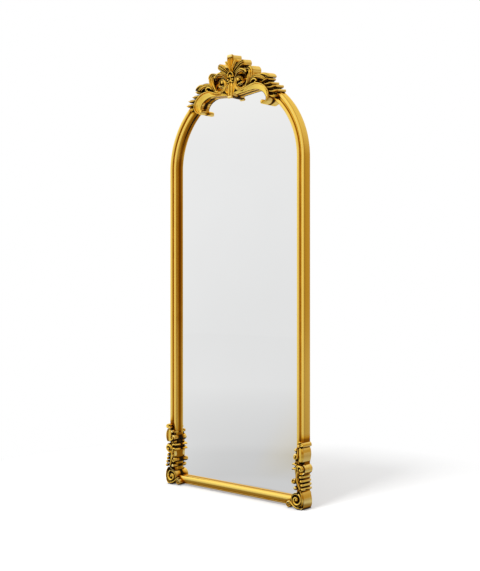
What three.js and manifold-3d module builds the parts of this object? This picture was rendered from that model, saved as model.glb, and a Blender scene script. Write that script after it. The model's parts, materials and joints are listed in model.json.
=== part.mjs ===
// Floor mirror in a gilded Rococo frame: an arched moulding with two beads round one sheet
// of glass, a carved crest over the arch and carved castings round the foot of each post.
//
// Millimetres, X to the right, Y to the back, Z up. While the pieces are made, Y = 0 is the
// front of the moulding and Z = 0 is the floor. The group is then moved back to front, so
// that its box is centred on X = Y = 0. Pieces of the right half are made first, and their
// mirror images are the left half.

import * as THREE from "three";
import { mergeVertices } from "three/addons/utils/BufferGeometryUtils.js";
import Module from "manifold-3d";

const wasm = await Module();
wasm.setup();

// ---------------------------------------------------------------- driving dimensions

// Frame moulding
const FRAME_WIDTH = 720;
const SPRING_HEIGHT = 1316;
const ARCH_RISE = 341.6;
const FRAME_DEPTH = 36;
const STILE_FACE = 38;
const RAIL_FACE = 33;
const RAIL_HEIGHT = 8;
const BEAD_RELIEF = 5;
const OUTER_BEAD = 16;
const GROOVE = 7;
const GLASS_SEAT = 22;
const GLASS_REBATE = 8;
const BOARD_REBATE = 18;

// Sheets
const GLASS_THICKNESS = 5;
const BOARD_THICKNESS = 4;

// Clearances
const GAP = 0.3;
const SCREW_PLAY = 0.3;
const WIRE_PLAY = 0.3;

// Joint tongues
const BISCUIT_LENGTH = 46;
const BISCUIT_WIDTH = 20;
const BISCUIT_THICKNESS = 4;

// Carving: depths of its front, shoulders, bands and back board, and how much its flanks
// spread for each millimetre of depth
const CARVING_FRONT = -20;
const SHOULDER = -11;
const BAND_INNER_EDGE = 4;
const CREST_BOARD_FRONT = 8;
const DRAFT = 0.15;
const CREST_RISE = 95.4;
const PLUME_TIP_RADIUS = 12;

// Corner castings
const FOOT_CLEAR = 2.8;
const FOOT_FRONT = -14;
const FOOT_TOP = 73;
const FOOT_SWELL = 9;
const SCROLL_HEIGHT = 150;
const VOLUTE_HEIGHT = 35;
const VOLUTE_INSET = 26;
const ROSETTE_INSET = 64;
const ROSETTE_RADIUS = 13;

// Fittings
const PAD_THICKNESS = 2.5;
const PAD_WIDTH = 26;
const HEEL_HEIGHT = 64;
const BUMPER_RADIUS = 8.5;
const BUMPER_THICKNESS = 9;
const HANGER_DROP = 66;
const HANGER_INSET = 14;
const STRAP_WIDTH = 10;
const STRAP_TAIL = 8;
const STRAP_THICKNESS = 1.2;
const WIRE_RADIUS = 1.6;
const RING_WIDTH = 18;
const RING_DROP = 23;
const SCREW_RADIUS = 1.6;
const SCREW_HEAD_RADIUS = 3.4;
const SCREW_HEAD_HEIGHT = 1.9;
const HANGER_SCREW_LENGTH = 14;
const BOARD_SCREW_LENGTH = 18;
const BOARD_SCREW_END = 148;

// ---------------------------------------------------------------- sizes worked out

const HALF = FRAME_WIDTH / 2;
const RAIL_TOP = RAIL_HEIGHT + RAIL_FACE;
const STILE_FOOT = RAIL_HEIGHT;
const ARCH_TOP = SPRING_HEIGHT + ARCH_RISE;
const GLASS_FRONT = GLASS_SEAT + GAP;
const BOARD_SEAT = GLASS_FRONT + GLASS_THICKNESS + GAP;
const BOARD_FRONT = BOARD_SEAT + GAP;
const BOARD_BACK = BOARD_FRONT + BOARD_THICKNESS;
const BACK_WALL = STILE_FACE - BOARD_REBATE;
const ARCH_STEPS = 15;
const BUMPER_BACK = FRAME_DEPTH + GAP + BUMPER_THICKNESS;
const MIDDLE_DEPTH = (CARVING_FRONT + BUMPER_BACK) / 2;
const HANGER_HEIGHT = SPRING_HEIGHT - HANGER_DROP;

// ---------------------------------------------------------------- materials

const gilt = { color: 0xc8962f, roughness: 0.32, metalness: 0.85 };
const giltDeep = { color: 0x9a6a20, roughness: 0.45, metalness: 0.75 };
const silvered = { color: 0xdadcdc, roughness: 0.04, metalness: 1 };
const hardboard = { color: 0x6f5233, roughness: 0.85, metalness: 0 };
const beech = { color: 0xcfa873, roughness: 0.7, metalness: 0 };
const steel = { color: 0xb9b9b4, roughness: 0.35, metalness: 0.9 };
const rubber = { color: 0x242424, roughness: 0.8, metalness: 0 };
const felt = { color: 0x5a4b3c, roughness: 1, metalness: 0 };

// ---------------------------------------------------------------- solids

const mirror = new THREE.Group();

function addPart(name, shape, finish) {
  const material = new THREE.MeshStandardMaterial({ ...finish, flatShading: true });
  const geometry = shape.isBufferGeometry ? shape : geometryOf(shape);
  const mesh = new THREE.Mesh(geometry, material);
  mesh.name = name;
  mirror.add(mesh);
}

// One piece on the right and its mirror image on the left.
function addPair(name, shape, finish) {
  const right = shape.isBufferGeometry ? shape : geometryOf(shape);
  addPart(`${name}_right`, right, finish);
  addPart(`${name}_left`, mirrored(right), finish);
}

// The same surface with its corners shared, as a closed body needs them.
function welded(geometry) {
  const bare = geometry.clone();
  bare.deleteAttribute("normal");
  bare.deleteAttribute("uv");
  return mergeVertices(bare);
}

function solid(geometry) {
  const merged = welded(geometry);
  const vertProperties = new Float32Array(merged.attributes.position.array);
  const triVerts = new Uint32Array(merged.index.array);
  return new wasm.Manifold(new wasm.Mesh({ numProp: 3, vertProperties, triVerts }));
}

function geometryOf(body) {
  const { vertProperties, triVerts } = body.getMesh();
  return bodyGeometry(Array.from(vertProperties), Array.from(triVerts));
}

function bodyGeometry(positions, faces) {
  const geometry = new THREE.BufferGeometry();
  geometry.setAttribute("position", new THREE.Float32BufferAttribute(positions, 3));
  geometry.setIndex(faces);
  geometry.computeVertexNormals();
  return geometry;
}

function mirrored(geometry) {
  const copy = welded(geometry).scale(-1, 1, 1);
  const faces = copy.index.array;
  for (let i = 0; i < faces.length; i += 3) {
    [faces[i], faces[i + 1]] = [faces[i + 1], faces[i]];
  }
  copy.computeVertexNormals();
  return copy;
}

const joined = (bodies) => bodies.reduce((all, body) => all.add(body));
const withMirror = (body) => body.add(solid(mirrored(geometryOf(body))));

// Where a cut leaves crumbs beside the piece, they are dropped.
function largest(body) {
  const lumps = body.decompose();
  return lumps.reduce((best, lump) => (lump.volume() > best.volume() ? lump : best));
}

// Joins rings of matching points into one closed body. `outline` is the rings' shape on
// the flat, which caps the two ends; a closed loop of rings has no ends.
function loft(rings, outline, closed = false) {
  const count = outline.length;
  const positions = rings.flat().flatMap((p) => [p.x, p.y, p.z]);
  const turned = THREE.ShapeUtils.isClockWise(outline);
  const faces = [];
  const spans = closed ? rings.length : rings.length - 1;
  for (let i = 0; i < spans; i++) {
    const here = i * count;
    const next = ((i + 1) % rings.length) * count;
    for (let k = 0; k < count; k++) {
      const after = (k + 1) % count;
      faces.push(here + k, here + after, next + after);
      faces.push(here + k, next + after, next + k);
    }
  }
  if (!closed) {
    const last = (rings.length - 1) * count;
    for (const [a, b, c] of THREE.ShapeUtils.triangulateShape(outline, [])) {
      const [p, q] = turned ? [a, c] : [c, a];
      faces.push(p, b, q);
      faces.push(last + q, last + b, last + p);
    }
  }
  return facingOut(positions, faces);
}

function facingOut(positions, faces) {
  const corner = (i) => new THREE.Vector3().fromArray(positions, 3 * i);
  let volume = 0;
  for (let i = 0; i < faces.length; i += 3) {
    const [a, b, c] = [corner(faces[i]), corner(faces[i + 1]), corner(faces[i + 2])];
    volume += a.dot(b.cross(c));
  }
  return bodyGeometry(positions, volume < 0 ? faces.reverse() : faces);
}

// A flat sheet parallel to the mirror's face. Its shape is drawn in X and Z.
function sheet(shape, front, thickness, curveSegments = 12) {
  const geometry = new THREE.ExtrudeGeometry(shape, {
    depth: thickness,
    bevelEnabled: false,
    curveSegments,
  });
  return geometry.rotateX(Math.PI / 2).translate(0, front + thickness, 0);
}

// A round bar or disc that points to the back.
function peg(x, z, radius, front, back, sides = 12) {
  const geometry = new THREE.CylinderGeometry(radius, radius, back - front, sides);
  return geometry.translate(x, (front + back) / 2, z);
}

function block(x0, x1, y0, y1, z0, z1) {
  const geometry = new THREE.BoxGeometry(x1 - x0, y1 - y0, z1 - z0);
  return geometry.translate((x0 + x1) / 2, (y0 + y1) / 2, (z0 + z1) / 2);
}

// ---------------------------------------------------------------- mouldings

// Half round bead from `start` to `end` across the moulding's face.
function bead(start, end, relief, steps = 5) {
  const middle = (start + end) / 2;
  const half = (end - start) / 2;
  const points = [];
  for (let i = 0; i <= steps; i++) {
    const angle = (Math.PI * i) / steps;
    const across = middle - half * Math.cos(angle);
    points.push(new THREE.Vector2(across, relief * (1 - Math.sin(angle))));
  }
  return points;
}

// The back of every moulding: a step for the glass and a wider one for the backing board.
function rebates(face, glassRebate, boardRebate) {
  return [
    new THREE.Vector2(face, GLASS_SEAT),
    new THREE.Vector2(face - glassRebate, GLASS_SEAT),
    new THREE.Vector2(face - glassRebate, BOARD_SEAT),
    new THREE.Vector2(face - boardRebate, BOARD_SEAT),
    new THREE.Vector2(face - boardRebate, FRAME_DEPTH),
    new THREE.Vector2(0, FRAME_DEPTH),
  ];
}

// Sections are drawn as (distance in from the outer edge, depth behind the front).
function stileSection() {
  return [
    ...bead(0, OUTER_BEAD, BEAD_RELIEF),
    ...bead(OUTER_BEAD + GROOVE, STILE_FACE, BEAD_RELIEF),
    ...rebates(STILE_FACE, GLASS_REBATE, BOARD_REBATE),
  ];
}

function railSection() {
  const lip = RAIL_FACE / 6;
  return [
    new THREE.Vector2(0, BEAD_RELIEF * 1.6),
    new THREE.Vector2(lip, BEAD_RELIEF * 1.6),
    ...bead(lip, RAIL_FACE, BEAD_RELIEF * 1.4, 8).slice(1),
    ...rebates(RAIL_FACE, GLASS_REBATE, BOARD_REBATE),
  ];
}

// A point of the arch's outer edge, moved in by `inset` across the moulding.
function archPoint(angle, inset, depth) {
  const slope = new THREE.Vector2(Math.cos(angle) / HALF, Math.sin(angle) / ARCH_RISE);
  const normal = slope.normalize();
  const x = HALF * Math.cos(angle) - normal.x * inset;
  const z = SPRING_HEIGHT + ARCH_RISE * Math.sin(angle) - normal.y * inset;
  return new THREE.Vector3(x, depth, z);
}

function archLoft(section, from, to, steps) {
  const rings = [];
  for (let i = 0; i <= steps; i++) {
    const angle = from + ((to - from) * i) / steps;
    rings.push(section.map((p) => archPoint(angle, p.x, p.y)));
  }
  return solid(loft(rings, section));
}

// The right half of the arch, short of the spring line and of the crown by half a gap.
function archHalf() {
  const section = stileSection();
  const body = archLoft(section, 0, Math.PI / 2, ARCH_STEPS);
  const spring = solid(block(0, HALF + 1, -1, FRAME_DEPTH + 1, SPRING_HEIGHT - 1, SPRING_HEIGHT + GAP / 2));
  const crown = solid(block(-1, GAP / 2, -1, FRAME_DEPTH + 1, SPRING_HEIGHT, ARCH_TOP + 1));
  return body.subtract(spring).subtract(crown);
}

function stile() {
  const section = stileSection();
  const heights = [STILE_FOOT, SPRING_HEIGHT - GAP / 2];
  const rings = heights.map((z) => section.map((p) => new THREE.Vector3(HALF - p.x, p.y, z)));
  return solid(loft(rings, section));
}

function rail() {
  const section = railSection();
  const reach = HALF - STILE_FACE - GAP;
  const ring = (x) => section.map((p) => new THREE.Vector3(x, p.y, RAIL_HEIGHT + p.x));
  return solid(loft([ring(-reach), ring(reach)], section));
}

// ---------------------------------------------------------------- joint tongues

// A lens of beech that lies across a joint. `turn` is the angle of its length to X.
function biscuit(x, z, turn, grow = 0) {
  const half = BISCUIT_LENGTH / 2 + grow;
  const bulge = BISCUIT_WIDTH / 2 + grow;
  const radius = (half * half + bulge * bulge) / (2 * bulge);
  const sweep = Math.asin(half / radius);
  const shape = new THREE.Shape();
  shape.absarc(0, bulge - radius, radius, Math.PI / 2 + sweep, Math.PI / 2 - sweep, true);
  shape.absarc(0, radius - bulge, radius, -Math.PI / 2 + sweep, -Math.PI / 2 - sweep, true);
  const depth = BISCUIT_THICKNESS + 2 * grow;
  const geometry = sheet(shape, GLASS_SEAT / 2 - depth / 2 + BEAD_RELIEF, depth, 6);
  return geometry.rotateY(-turn).translate(x, 0, z);
}

const tongueInset = (STILE_FACE - GLASS_REBATE) / 2;
const tonguePlaces = {
  crown: [0, ARCH_TOP - tongueInset, 0],
  spring: [HALF - tongueInset, SPRING_HEIGHT, Math.PI / 2],
  foot: [HALF - STILE_FACE, RAIL_HEIGHT + (RAIL_FACE - GLASS_REBATE) / 2 + 1, 0],
};
const tongueSlot = (place) => solid(biscuit(...tonguePlaces[place], GAP));

// ---------------------------------------------------------------- screws

// A pan-head screw that goes in from the back; its head's underside lies at `seat`.
function screw(x, z, seat, length) {
  const profile = [
    [0, seat - length],
    [SCREW_RADIUS, seat - length + 2 * SCREW_RADIUS],
    [SCREW_RADIUS, seat],
    [SCREW_HEAD_RADIUS, seat],
    [SCREW_HEAD_RADIUS, seat + SCREW_HEAD_HEIGHT / 2],
    [SCREW_HEAD_RADIUS / 2, seat + SCREW_HEAD_HEIGHT],
    [0, seat + SCREW_HEAD_HEIGHT],
  ].map(([radius, y]) => new THREE.Vector2(radius, y));
  return new THREE.LatheGeometry(profile, 6).translate(x, 0, z);
}

function screwHole(x, z, back, depth) {
  return solid(peg(x, z, SCREW_RADIUS + SCREW_PLAY, back - depth, back + 1, 6));
}

const boardScrewX = HALF - STILE_FACE + (GLASS_REBATE + BOARD_REBATE) / 2;
const boardScrewEnds = [RAIL_TOP + BOARD_SCREW_END, SPRING_HEIGHT - BOARD_SCREW_END];
const boardScrewHeights = [boardScrewEnds[0], (boardScrewEnds[0] + boardScrewEnds[1]) / 2, boardScrewEnds[1]];
const hangerX = HALF - HANGER_INSET;
const hangerScrewDrops = [RING_DROP + 8, RING_DROP + 20];
const strapLength = hangerScrewDrops[1] + STRAP_TAIL;

function stileHoles() {
  const pilot = BOARD_SCREW_LENGTH - BOARD_THICKNESS + 1;
  const board = boardScrewHeights.map((z) => screwHole(boardScrewX, z, BOARD_SEAT, pilot));
  const hanger = hangerScrewDrops.map((drop) =>
    screwHole(hangerX, HANGER_HEIGHT - drop, FRAME_DEPTH, HANGER_SCREW_LENGTH),
  );
  return joined([...board, ...hanger]);
}

// ---------------------------------------------------------------- sheets

// The arched outline of a sheet whose edge lies `inset` inside the frame's outer edge.
function archedShape(inset, foot) {
  const steps = 2 * ARCH_STEPS;
  const points = [new THREE.Vector2(HALF - inset, foot)];
  for (let i = 0; i <= steps; i++) {
    const p = archPoint((Math.PI * i) / steps, inset, 0);
    points.push(new THREE.Vector2(p.x, p.z));
  }
  points.push(new THREE.Vector2(inset - HALF, foot));
  return new THREE.Shape(points);
}

function glass() {
  const inset = STILE_FACE - GLASS_REBATE + GAP;
  const shape = archedShape(inset, RAIL_TOP - GLASS_REBATE + GAP);
  return sheet(shape, GLASS_FRONT, GLASS_THICKNESS);
}

function backingBoard() {
  const shape = archedShape(BACK_WALL + GAP, RAIL_TOP - BOARD_REBATE + GAP);
  for (const x of [-boardScrewX, boardScrewX]) {
    for (const z of boardScrewHeights) {
      const hole = new THREE.Path();
      hole.absarc(x, z, SCREW_RADIUS + SCREW_PLAY, 0, 2 * Math.PI);
      shape.holes.push(hole);
    }
  }
  return sheet(shape, BOARD_FRONT, BOARD_THICKNESS, 4);
}

// ---------------------------------------------------------------- carving

// What the carving may not enter: the moulding, the glass and all that is behind it.
function frameEnvelope() {
  const far = FRAME_DEPTH + 20;
  const face = [
    new THREE.Vector2(-GAP, -GAP),
    new THREE.Vector2(STILE_FACE + GAP, -GAP),
    new THREE.Vector2(STILE_FACE + GAP, far),
    new THREE.Vector2(-GAP, far),
  ];
  const pastCrown = (Math.PI / 2) * (1 + 1 / ARCH_STEPS);
  const halfArch = archLoft(face, 0, pastCrown, ARCH_STEPS + 1);
  const inner = HALF - STILE_FACE - GAP;
  const post = block(inner, HALF + GAP, -GAP, far, STILE_FOOT - GAP, SPRING_HEIGHT + 1);
  const foot = block(-1, inner + 1, -GAP, far, STILE_FOOT - GAP, RAIL_TOP + GAP);
  const opening = sheet(archedShape(STILE_FACE, RAIL_TOP), GLASS_FRONT - GAP, far);
  return joined([withMirror(joined([halfArch, solid(post), solid(foot)])), solid(opening)]);
}

// Reliefs give the depth of a carved face. `s` runs across the limb from -1 to 1.
const rounded = (s) => SHOULDER + (CARVING_FRONT - SHOULDER) * (1 - s * s);
const fluted = (count, cut) => (s) => rounded(s * 0.9) + cut * (0.5 - 0.5 * Math.cos(Math.PI * count * s));
const flat = (depth) => () => depth;

// A raised bead on the limb's outer edge and a wide cove that falls to the inner edge.
const coved = (s) => {
  const edge = THREE.MathUtils.smoothstep(s, 0.35, 0.85);
  const fall = THREE.MathUtils.lerp(-BAND_INNER_EDGE, CARVING_FRONT * 0.7, (s + 1) / 2);
  return THREE.MathUtils.lerp(fall, CARVING_FRONT + 1.5, edge) + 4 * Math.max(0, s - 0.85) / 0.15;
};

function valueAlong(values, t) {
  const place = t * (values.length - 1);
  const start = Math.min(Math.floor(place), values.length - 2);
  return THREE.MathUtils.lerp(values[start], values[start + 1], place - start);
}

// A carved limb, such as a leaf, a scroll or a band. It follows `line` in the front view,
// its flanks spread by the draft from its shoulders to `back`, its ends by `lean`, and
// `relief` shapes its front. `grow` makes it larger all round, to cut its neighbours clear.
function limb(form, grow = 0) {
  const { line, widths, relief = rounded, back = CREST_BOARD_FRONT - GAP } = form;
  const { draft = DRAFT, lean = draft, steps = 8, across = 4 } = form;
  const stations = Array.from({ length: across + 1 }, (_, j) => (2 * j) / across - 1);
  const rings = [];
  for (let i = 0; i <= steps; i++) {
    const t = i / steps;
    const end = i === 0 ? -1 : i === steps ? 1 : 0;
    const along = line.getTangent(t);
    const middle = line.getPoint(t);
    const half = valueAlong(widths, t) + grow;
    const at = (s, depth) => {
      const behind = Math.max(0, depth - SHOULDER);
      const side = s * half + Math.sign(s) * draft * behind;
      const ahead = end * (grow + lean * behind);
      const x = middle.x - along.y * side + along.x * ahead;
      const z = middle.y + along.x * side + along.y * ahead;
      return new THREE.Vector3(x, depth, z);
    };
    rings.push([at(1, back + grow), at(-1, back + grow), ...stations.map((s) => at(s, relief(s) - grow))]);
  }
  const corners = [new THREE.Vector2(1, 2), new THREE.Vector2(-1, 2)];
  const outline = [...corners, ...stations.map((s) => new THREE.Vector2(s, s * s - 1))];
  return solid(loft(rings, outline));
}

const limbs = (forms) => (grow) => joined(forms.map((form) => limb(form, grow)));

function spline(x, z, points) {
  return new THREE.SplineCurve(points.map(([across, up]) => new THREE.Vector2(x + across, z + up)));
}

// A spiral in the front view. Angles are in degrees from +X towards +Z.
class Spiral extends THREE.Curve {
  constructor(x, z, fromAngle, toAngle, fromRadius, toRadius) {
    super();
    Object.assign(this, { x, z, fromAngle, toAngle, fromRadius, toRadius });
  }

  getPoint(t) {
    const angle = THREE.MathUtils.degToRad(THREE.MathUtils.lerp(this.fromAngle, this.toAngle, t));
    const radius = THREE.MathUtils.lerp(this.fromRadius, this.toRadius, t);
    return new THREE.Vector2(this.x + radius * Math.cos(angle), this.z + radius * Math.sin(angle));
  }
}

// A round boss, such as a scroll's eye or a bead.
function boss(x, z, radius, front, back, grow = 0) {
  const height = Math.min(radius, back - front) + grow;
  const reach = radius + grow;
  const profile = [new THREE.Vector2(0, back + grow), new THREE.Vector2(reach, back + grow)];
  for (let i = 0; i <= 3; i++) {
    const angle = (Math.PI / 2) * (i / 3);
    const y = front - grow + height * (1 - Math.sin(angle));
    profile.push(new THREE.Vector2(i === 3 ? 0 : reach * Math.cos(angle), y));
  }
  return solid(new THREE.LatheGeometry(profile.reverse(), 9).translate(x, 0, z));
}

// Pieces are seated one after the other: each is cut by the frame and by the pieces that
// were seated before it, which are kept clear by the gap.
class Seating {
  constructor(envelope) {
    this.envelope = envelope;
    this.claimed = null;
  }

  seat(make, onBothSides = false) {
    let body = make(0).subtract(this.envelope);
    if (this.claimed) {
      body = body.subtract(onBothSides ? withMirror(this.claimed) : this.claimed);
    }
    const grown = make(GAP);
    this.claimed = this.claimed ? this.claimed.add(grown) : grown;
    return largest(body);
  }
}

// ---------------------------------------------------------------- crest

// The crest's lines, right half: X from the middle line, Z from the top of the arch.
const crestLine = (...points) => spline(0, ARCH_TOP, points);
const behindGlass = GLASS_SEAT - GAP;
const crestBack = CREST_BOARD_FRONT - GAP;
const plumeTip = CREST_RISE - PLUME_TIP_RADIUS;

const band = {
  line: crestLine(
    [24, -66], [58, -61], [92, -54], [122, -50], [151, -56],
    [175, -71], [187.5, -92], [184, -110], [172, -120], [160, -122],
  ),
  widths: [4, 5, 8.5, 12, 14.5, 15, 14.5, 10.5, 6.5, 3],
  relief: coved,
  back: behindGlass,
  draft: 0,
  steps: 14,
  across: 6,
};
const scrollRing = {
  line: new Spiral(50, ARCH_TOP - 22, -28, -352, 37, 9),
  widths: [6, 8, 8.5, 8, 7, 5, 4],
  steps: 12,
};
const scrollLeaf = {
  line: crestLine([27, -5], [42, 10], [62, 13], [82, -1]),
  widths: [4, 7, 8, 2.5],
  steps: 6,
};
const arm = {
  line: crestLine([84, -46], [95, -31], [104, -13], [107, 5], [100, 17], [86, 19], [77, 10]),
  widths: [5, 8, 10.5, 12.5, 11, 7.5, 3],
  relief: fluted(2, 3),
  steps: 10,
};
const spray = {
  line: crestLine([101, -24], [122, -15], [148, -15], [170, -25], [187, -40]),
  widths: [4, 7, 8.5, 8, 4],
};
const plume = {
  line: crestLine([0, 19], [0, 40], [0, 62], [0, plumeTip + 4]),
  widths: [9, 12, 17, 17.5, 11],
  relief: fluted(3, 4),
  steps: 5,
  across: 6,
};
const sideLeaf = {
  line: crestLine([12, 18], [30, 30], [50, 44], [69, 51]),
  widths: [5, 9, 11.5, 8],
  relief: fluted(2, 3),
  steps: 5,
};
const lowerLobe = {
  line: crestLine([20, 11], [40, 24], [59, 27]),
  widths: [4, 7.5, 3],
  steps: 4,
};
const leaflet = {
  line: crestLine([6, 37], [19, 52], [28, 65]),
  widths: [4, 6, 3],
  steps: 3,
};
const feathers = [
  [[158, -42], [176, -38], [193, -32], 6],
  [[172, -51], [192, -53], [209, -52], 6.5],
  [[184, -64], [210, -68], [232, -66], 7],
  [[192, -79], [218, -85], [243, -84], 7],
  [[194, -95], [214, -102], [232, -103], 6.5],
].map(([root, middle, tip, half]) => ({
  line: crestLine(root, middle, tip),
  widths: [half, half, half * 0.45],
  relief: fluted(1, 4),
  steps: 2,
  across: 2,
}));
const pendantTongue = {
  line: crestLine([0, -19], [0, -40], [0, -62], [0, -77]),
  widths: [13, 22, 17, 5],
  relief: fluted(2, 3.5),
  back: behindGlass,
  draft: 0,
  steps: 7,
};
const budBody = {
  line: crestLine([0, -16], [0, -1], [0, 16]),
  widths: [4, 8, 2],
  steps: 5,
};

function scrollBody(grow) {
  const eye = boss(43, ARCH_TOP - 14, 7, CARVING_FRONT + 2, crestBack, grow);
  return joined([limbs([scrollRing, scrollLeaf])(grow), eye]);
}

function budShape(grow) {
  const bead = (x) => boss(x, ARCH_TOP - 9, 4.5, CARVING_FRONT + 4, crestBack, grow);
  return joined([limb(budBody, grow), bead(12), bead(-12)]);
}

function palmetteBody(grow) {
  const leaves = limbs([sideLeaf, lowerLobe, leaflet])(grow);
  const tip = boss(0, ARCH_TOP + plumeTip, PLUME_TIP_RADIUS, CARVING_FRONT, crestBack, grow);
  return joined([withMirror(leaves), limb(plume, grow), tip]);
}

// The board behind the carving has the carving's own outline, without its dark pockets.
function crestBoard(envelope) {
  const forms = [scrollRing, scrollLeaf, arm, spray, sideLeaf, lowerLobe, leaflet, ...feathers];
  const through = { relief: flat(CREST_BOARD_FRONT - 1), back: FRAME_DEPTH + 1, across: 1 };
  const cut = forms.map((form) => limb({ ...form, ...through, steps: Math.min(form.steps ?? 6, 7) }));
  const filling = new THREE.Shape([
    [-1, -65], [-1, 65], [14, 65], [24, 35], [60, 27], [100, 11],
    [112, -13], [165, -25], [200, -60], [215, -85], [190, -105], [150, -65],
  ].map(([x, z]) => new THREE.Vector2(x, ARCH_TOP + z)));
  const span = FRAME_DEPTH - CREST_BOARD_FRONT + 2;
  const back = solid(sheet(filling, CREST_BOARD_FRONT - 1, span));
  const spread = DRAFT * (FRAME_DEPTH - SHOULDER);
  const tip = new THREE.CylinderGeometry(PLUME_TIP_RADIUS + spread, PLUME_TIP_RADIUS, span, 14);
  tip.translate(0, CREST_BOARD_FRONT - 1 + span / 2, ARCH_TOP + plumeTip - spread);
  const outline = joined([withMirror(joined([...cut, back])), limb({ ...plume, ...through }), solid(tip)]);
  const planed = solid(block(-HALF, HALF, CREST_BOARD_FRONT, FRAME_DEPTH, 0, ARCH_TOP + CREST_RISE));
  return largest(outline.intersect(planed).subtract(envelope));
}

function crest(envelope) {
  const seating = new Seating(envelope);
  addPart("crest_bud", seating.seat(budShape), gilt);
  addPart("crest_pendant", seating.seat(limbs([pendantTongue])), gilt);
  addPair("crest_scroll", seating.seat(scrollBody), gilt);
  addPair("crest_band", seating.seat(limbs([band])), gilt);
  addPair("crest_arm", seating.seat(limbs([arm])), gilt);
  addPair("crest_spray", seating.seat(limbs([spray])), gilt);
  addPair("crest_fan", seating.seat(limbs(feathers)), gilt);
  addPart("crest_palmette", seating.seat(palmetteBody, true), gilt);
  addPart("crest_board", crestBoard(envelope), giltDeep);
}

// ---------------------------------------------------------------- corner castings

// Their lines, right foot: X from the post's outer face, Z from the floor. What sits above
// the scroll keeps its distance from it, and what lies between is shared out between the
// foot's top and the scroll.
const cornerLine = (...points) => spline(HALF, 0, points);
const above = (rise) => SCROLL_HEIGHT + rise;
const between = (share) => FOOT_TOP + share * (SCROLL_HEIGHT - FOOT_TOP);
const outward = { back: FRAME_DEPTH };
const inward = { back: behindGlass, draft: 0 };

const collar = {
  line: cornerLine([-17, above(83)], [-8, above(89)], [1, above(93)], [6, above(95)]),
  widths: [5, 7, 8, 8],
  ...outward,
  draft: 0,
  lean: DRAFT / 2,
  steps: 4,
};
const wrap = {
  line: cornerLine([-9, above(79)], [-8.5, above(58)], [-10, above(34)]),
  widths: [11, 13, 12],
  relief: fluted(2, 3.5),
  ...outward,
  draft: 0,
  steps: 6,
};
const roll = {
  line: new Spiral(HALF - 8, SCROLL_HEIGHT, 205, -150, 15, 4),
  widths: [5, 5, 5.5, 5, 4, 3],
  ...outward,
  draft: 0,
  steps: 11,
};
const stem = {
  line: cornerLine([-22, above(-3)], [-26, between(0.64)], [-21, between(0.32)], [-10, between(0)]),
  widths: [5, 6.5, 6.5, 7],
  ...outward,
  draft: 0,
  steps: 6,
};
const lobes = [2, 4, 6, 7].map((tip, i) => {
  const [root, z] = [3 * i - 10, between(0.65 - 0.19 * i)];
  return {
    line: cornerLine([root, z], [(root + tip) / 2, z - 1], [tip - 2, z - 3]),
    widths: [5.5, 6.5, 6],
    ...outward,
    draft: 0,
    lean: DRAFT,
    steps: 3,
  };
});
const lobeBacking = {
  line: cornerLine([-4, between(0.71)], [0, between(0.02)]),
  widths: [5, 5],
  relief: flat(-7),
  ...outward,
  draft: 0,
  steps: 1,
  across: 1,
};
const spine = {
  line: cornerLine(
    [-24, above(79)], [-26, above(48)], [-28, above(8)], [-28, between(0.45)], [-21, between(0.03)],
  ),
  widths: [4, 5, 5, 5, 4],
  relief: flat(-7),
  ...inward,
  steps: 5,
  across: 1,
};
const thorns = [
  [[-26, above(12)], [-38, above(18)], [-48, above(15)]],
  [[-27, above(-2)], [-40, above(1)], [-49, above(-4)]],
].map((points) => ({
  line: cornerLine(...points),
  widths: [6, 4.5, 1.5],
  ...inward,
  steps: 3,
}));
const curls = [
  [-29, above(71), 7],
  [-32, above(45), 11],
  [-39, between(0.39), 10],
  [-33, between(0.08), 8],
];
const voluteX = HALF - VOLUTE_INSET;
const volute = {
  line: new Spiral(voluteX, VOLUTE_HEIGHT, 75, -330, 24, 5),
  widths: [4.5, 5, 5, 4.5, 3.5],
  ...outward,
  draft: 0,
  steps: 12,
};
const ribbon = {
  line: cornerLine([-62, 30], [-42, 15], [-24, 7], [-8, 5]),
  widths: [4, 4.5, 3.5, 2.2],
  ...outward,
  draft: 0,
  steps: 5,
};

function scrollCasting(grow) {
  const x = HALF - 8;
  const [front, back] = [-8 - grow, FRAME_DEPTH + grow];
  const core = new THREE.CylinderGeometry(21 + grow, 17 + grow, back - front, 16);
  core.translate(x, (front + back) / 2, SCROLL_HEIGHT);
  const eye = boss(x, SCROLL_HEIGHT - 2, 6, CARVING_FRONT, 0, grow);
  return joined([limbs([roll, stem])(grow), solid(core), eye]);
}

function innerCurls(grow) {
  const bosses = curls.map(([x, z, radius]) => boss(HALF + x, z, radius, CARVING_FRONT, behindGlass, grow));
  return joined([limbs([spine, ...thorns])(grow), ...bosses]);
}

// The foot is flat where it stands, and its outer side swells like a vase.
function footBody(grow) {
  const floor = FOOT_CLEAR - grow;
  const x = HALF + grow;
  const shape = new THREE.Shape();
  const swell = x + FOOT_SWELL;
  const top = FOOT_TOP + grow;
  shape.moveTo(voluteX - 4, floor);
  shape.lineTo(x - 1, floor);
  shape.quadraticCurveTo(swell, FOOT_TOP / 7, swell, FOOT_TOP / 3);
  shape.quadraticCurveTo(swell, FOOT_TOP * 0.65, x + 1, top - 3);
  shape.lineTo(voluteX + 12, top);
  shape.absarc(voluteX, VOLUTE_HEIGHT, 28 + grow, Math.PI / 2, Math.PI * 1.08, false);
  shape.quadraticCurveTo(voluteX - 20, 8 - grow, voluteX - 4, floor);
  const front = FOOT_FRONT - grow;
  const core = solid(sheet(shape, front, FRAME_DEPTH + grow - front, 6));
  const eye = boss(voluteX, VOLUTE_HEIGHT, 6, CARVING_FRONT, 0, grow);
  return joined([core, limb(volute, grow), limb(ribbon, grow), eye]);
}

const rosetteX = HALF - ROSETTE_INSET;
const rosette = (grow) => boss(rosetteX, 15, ROSETTE_RADIUS, CARVING_FRONT + 3, FRAME_DEPTH, grow);

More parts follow.
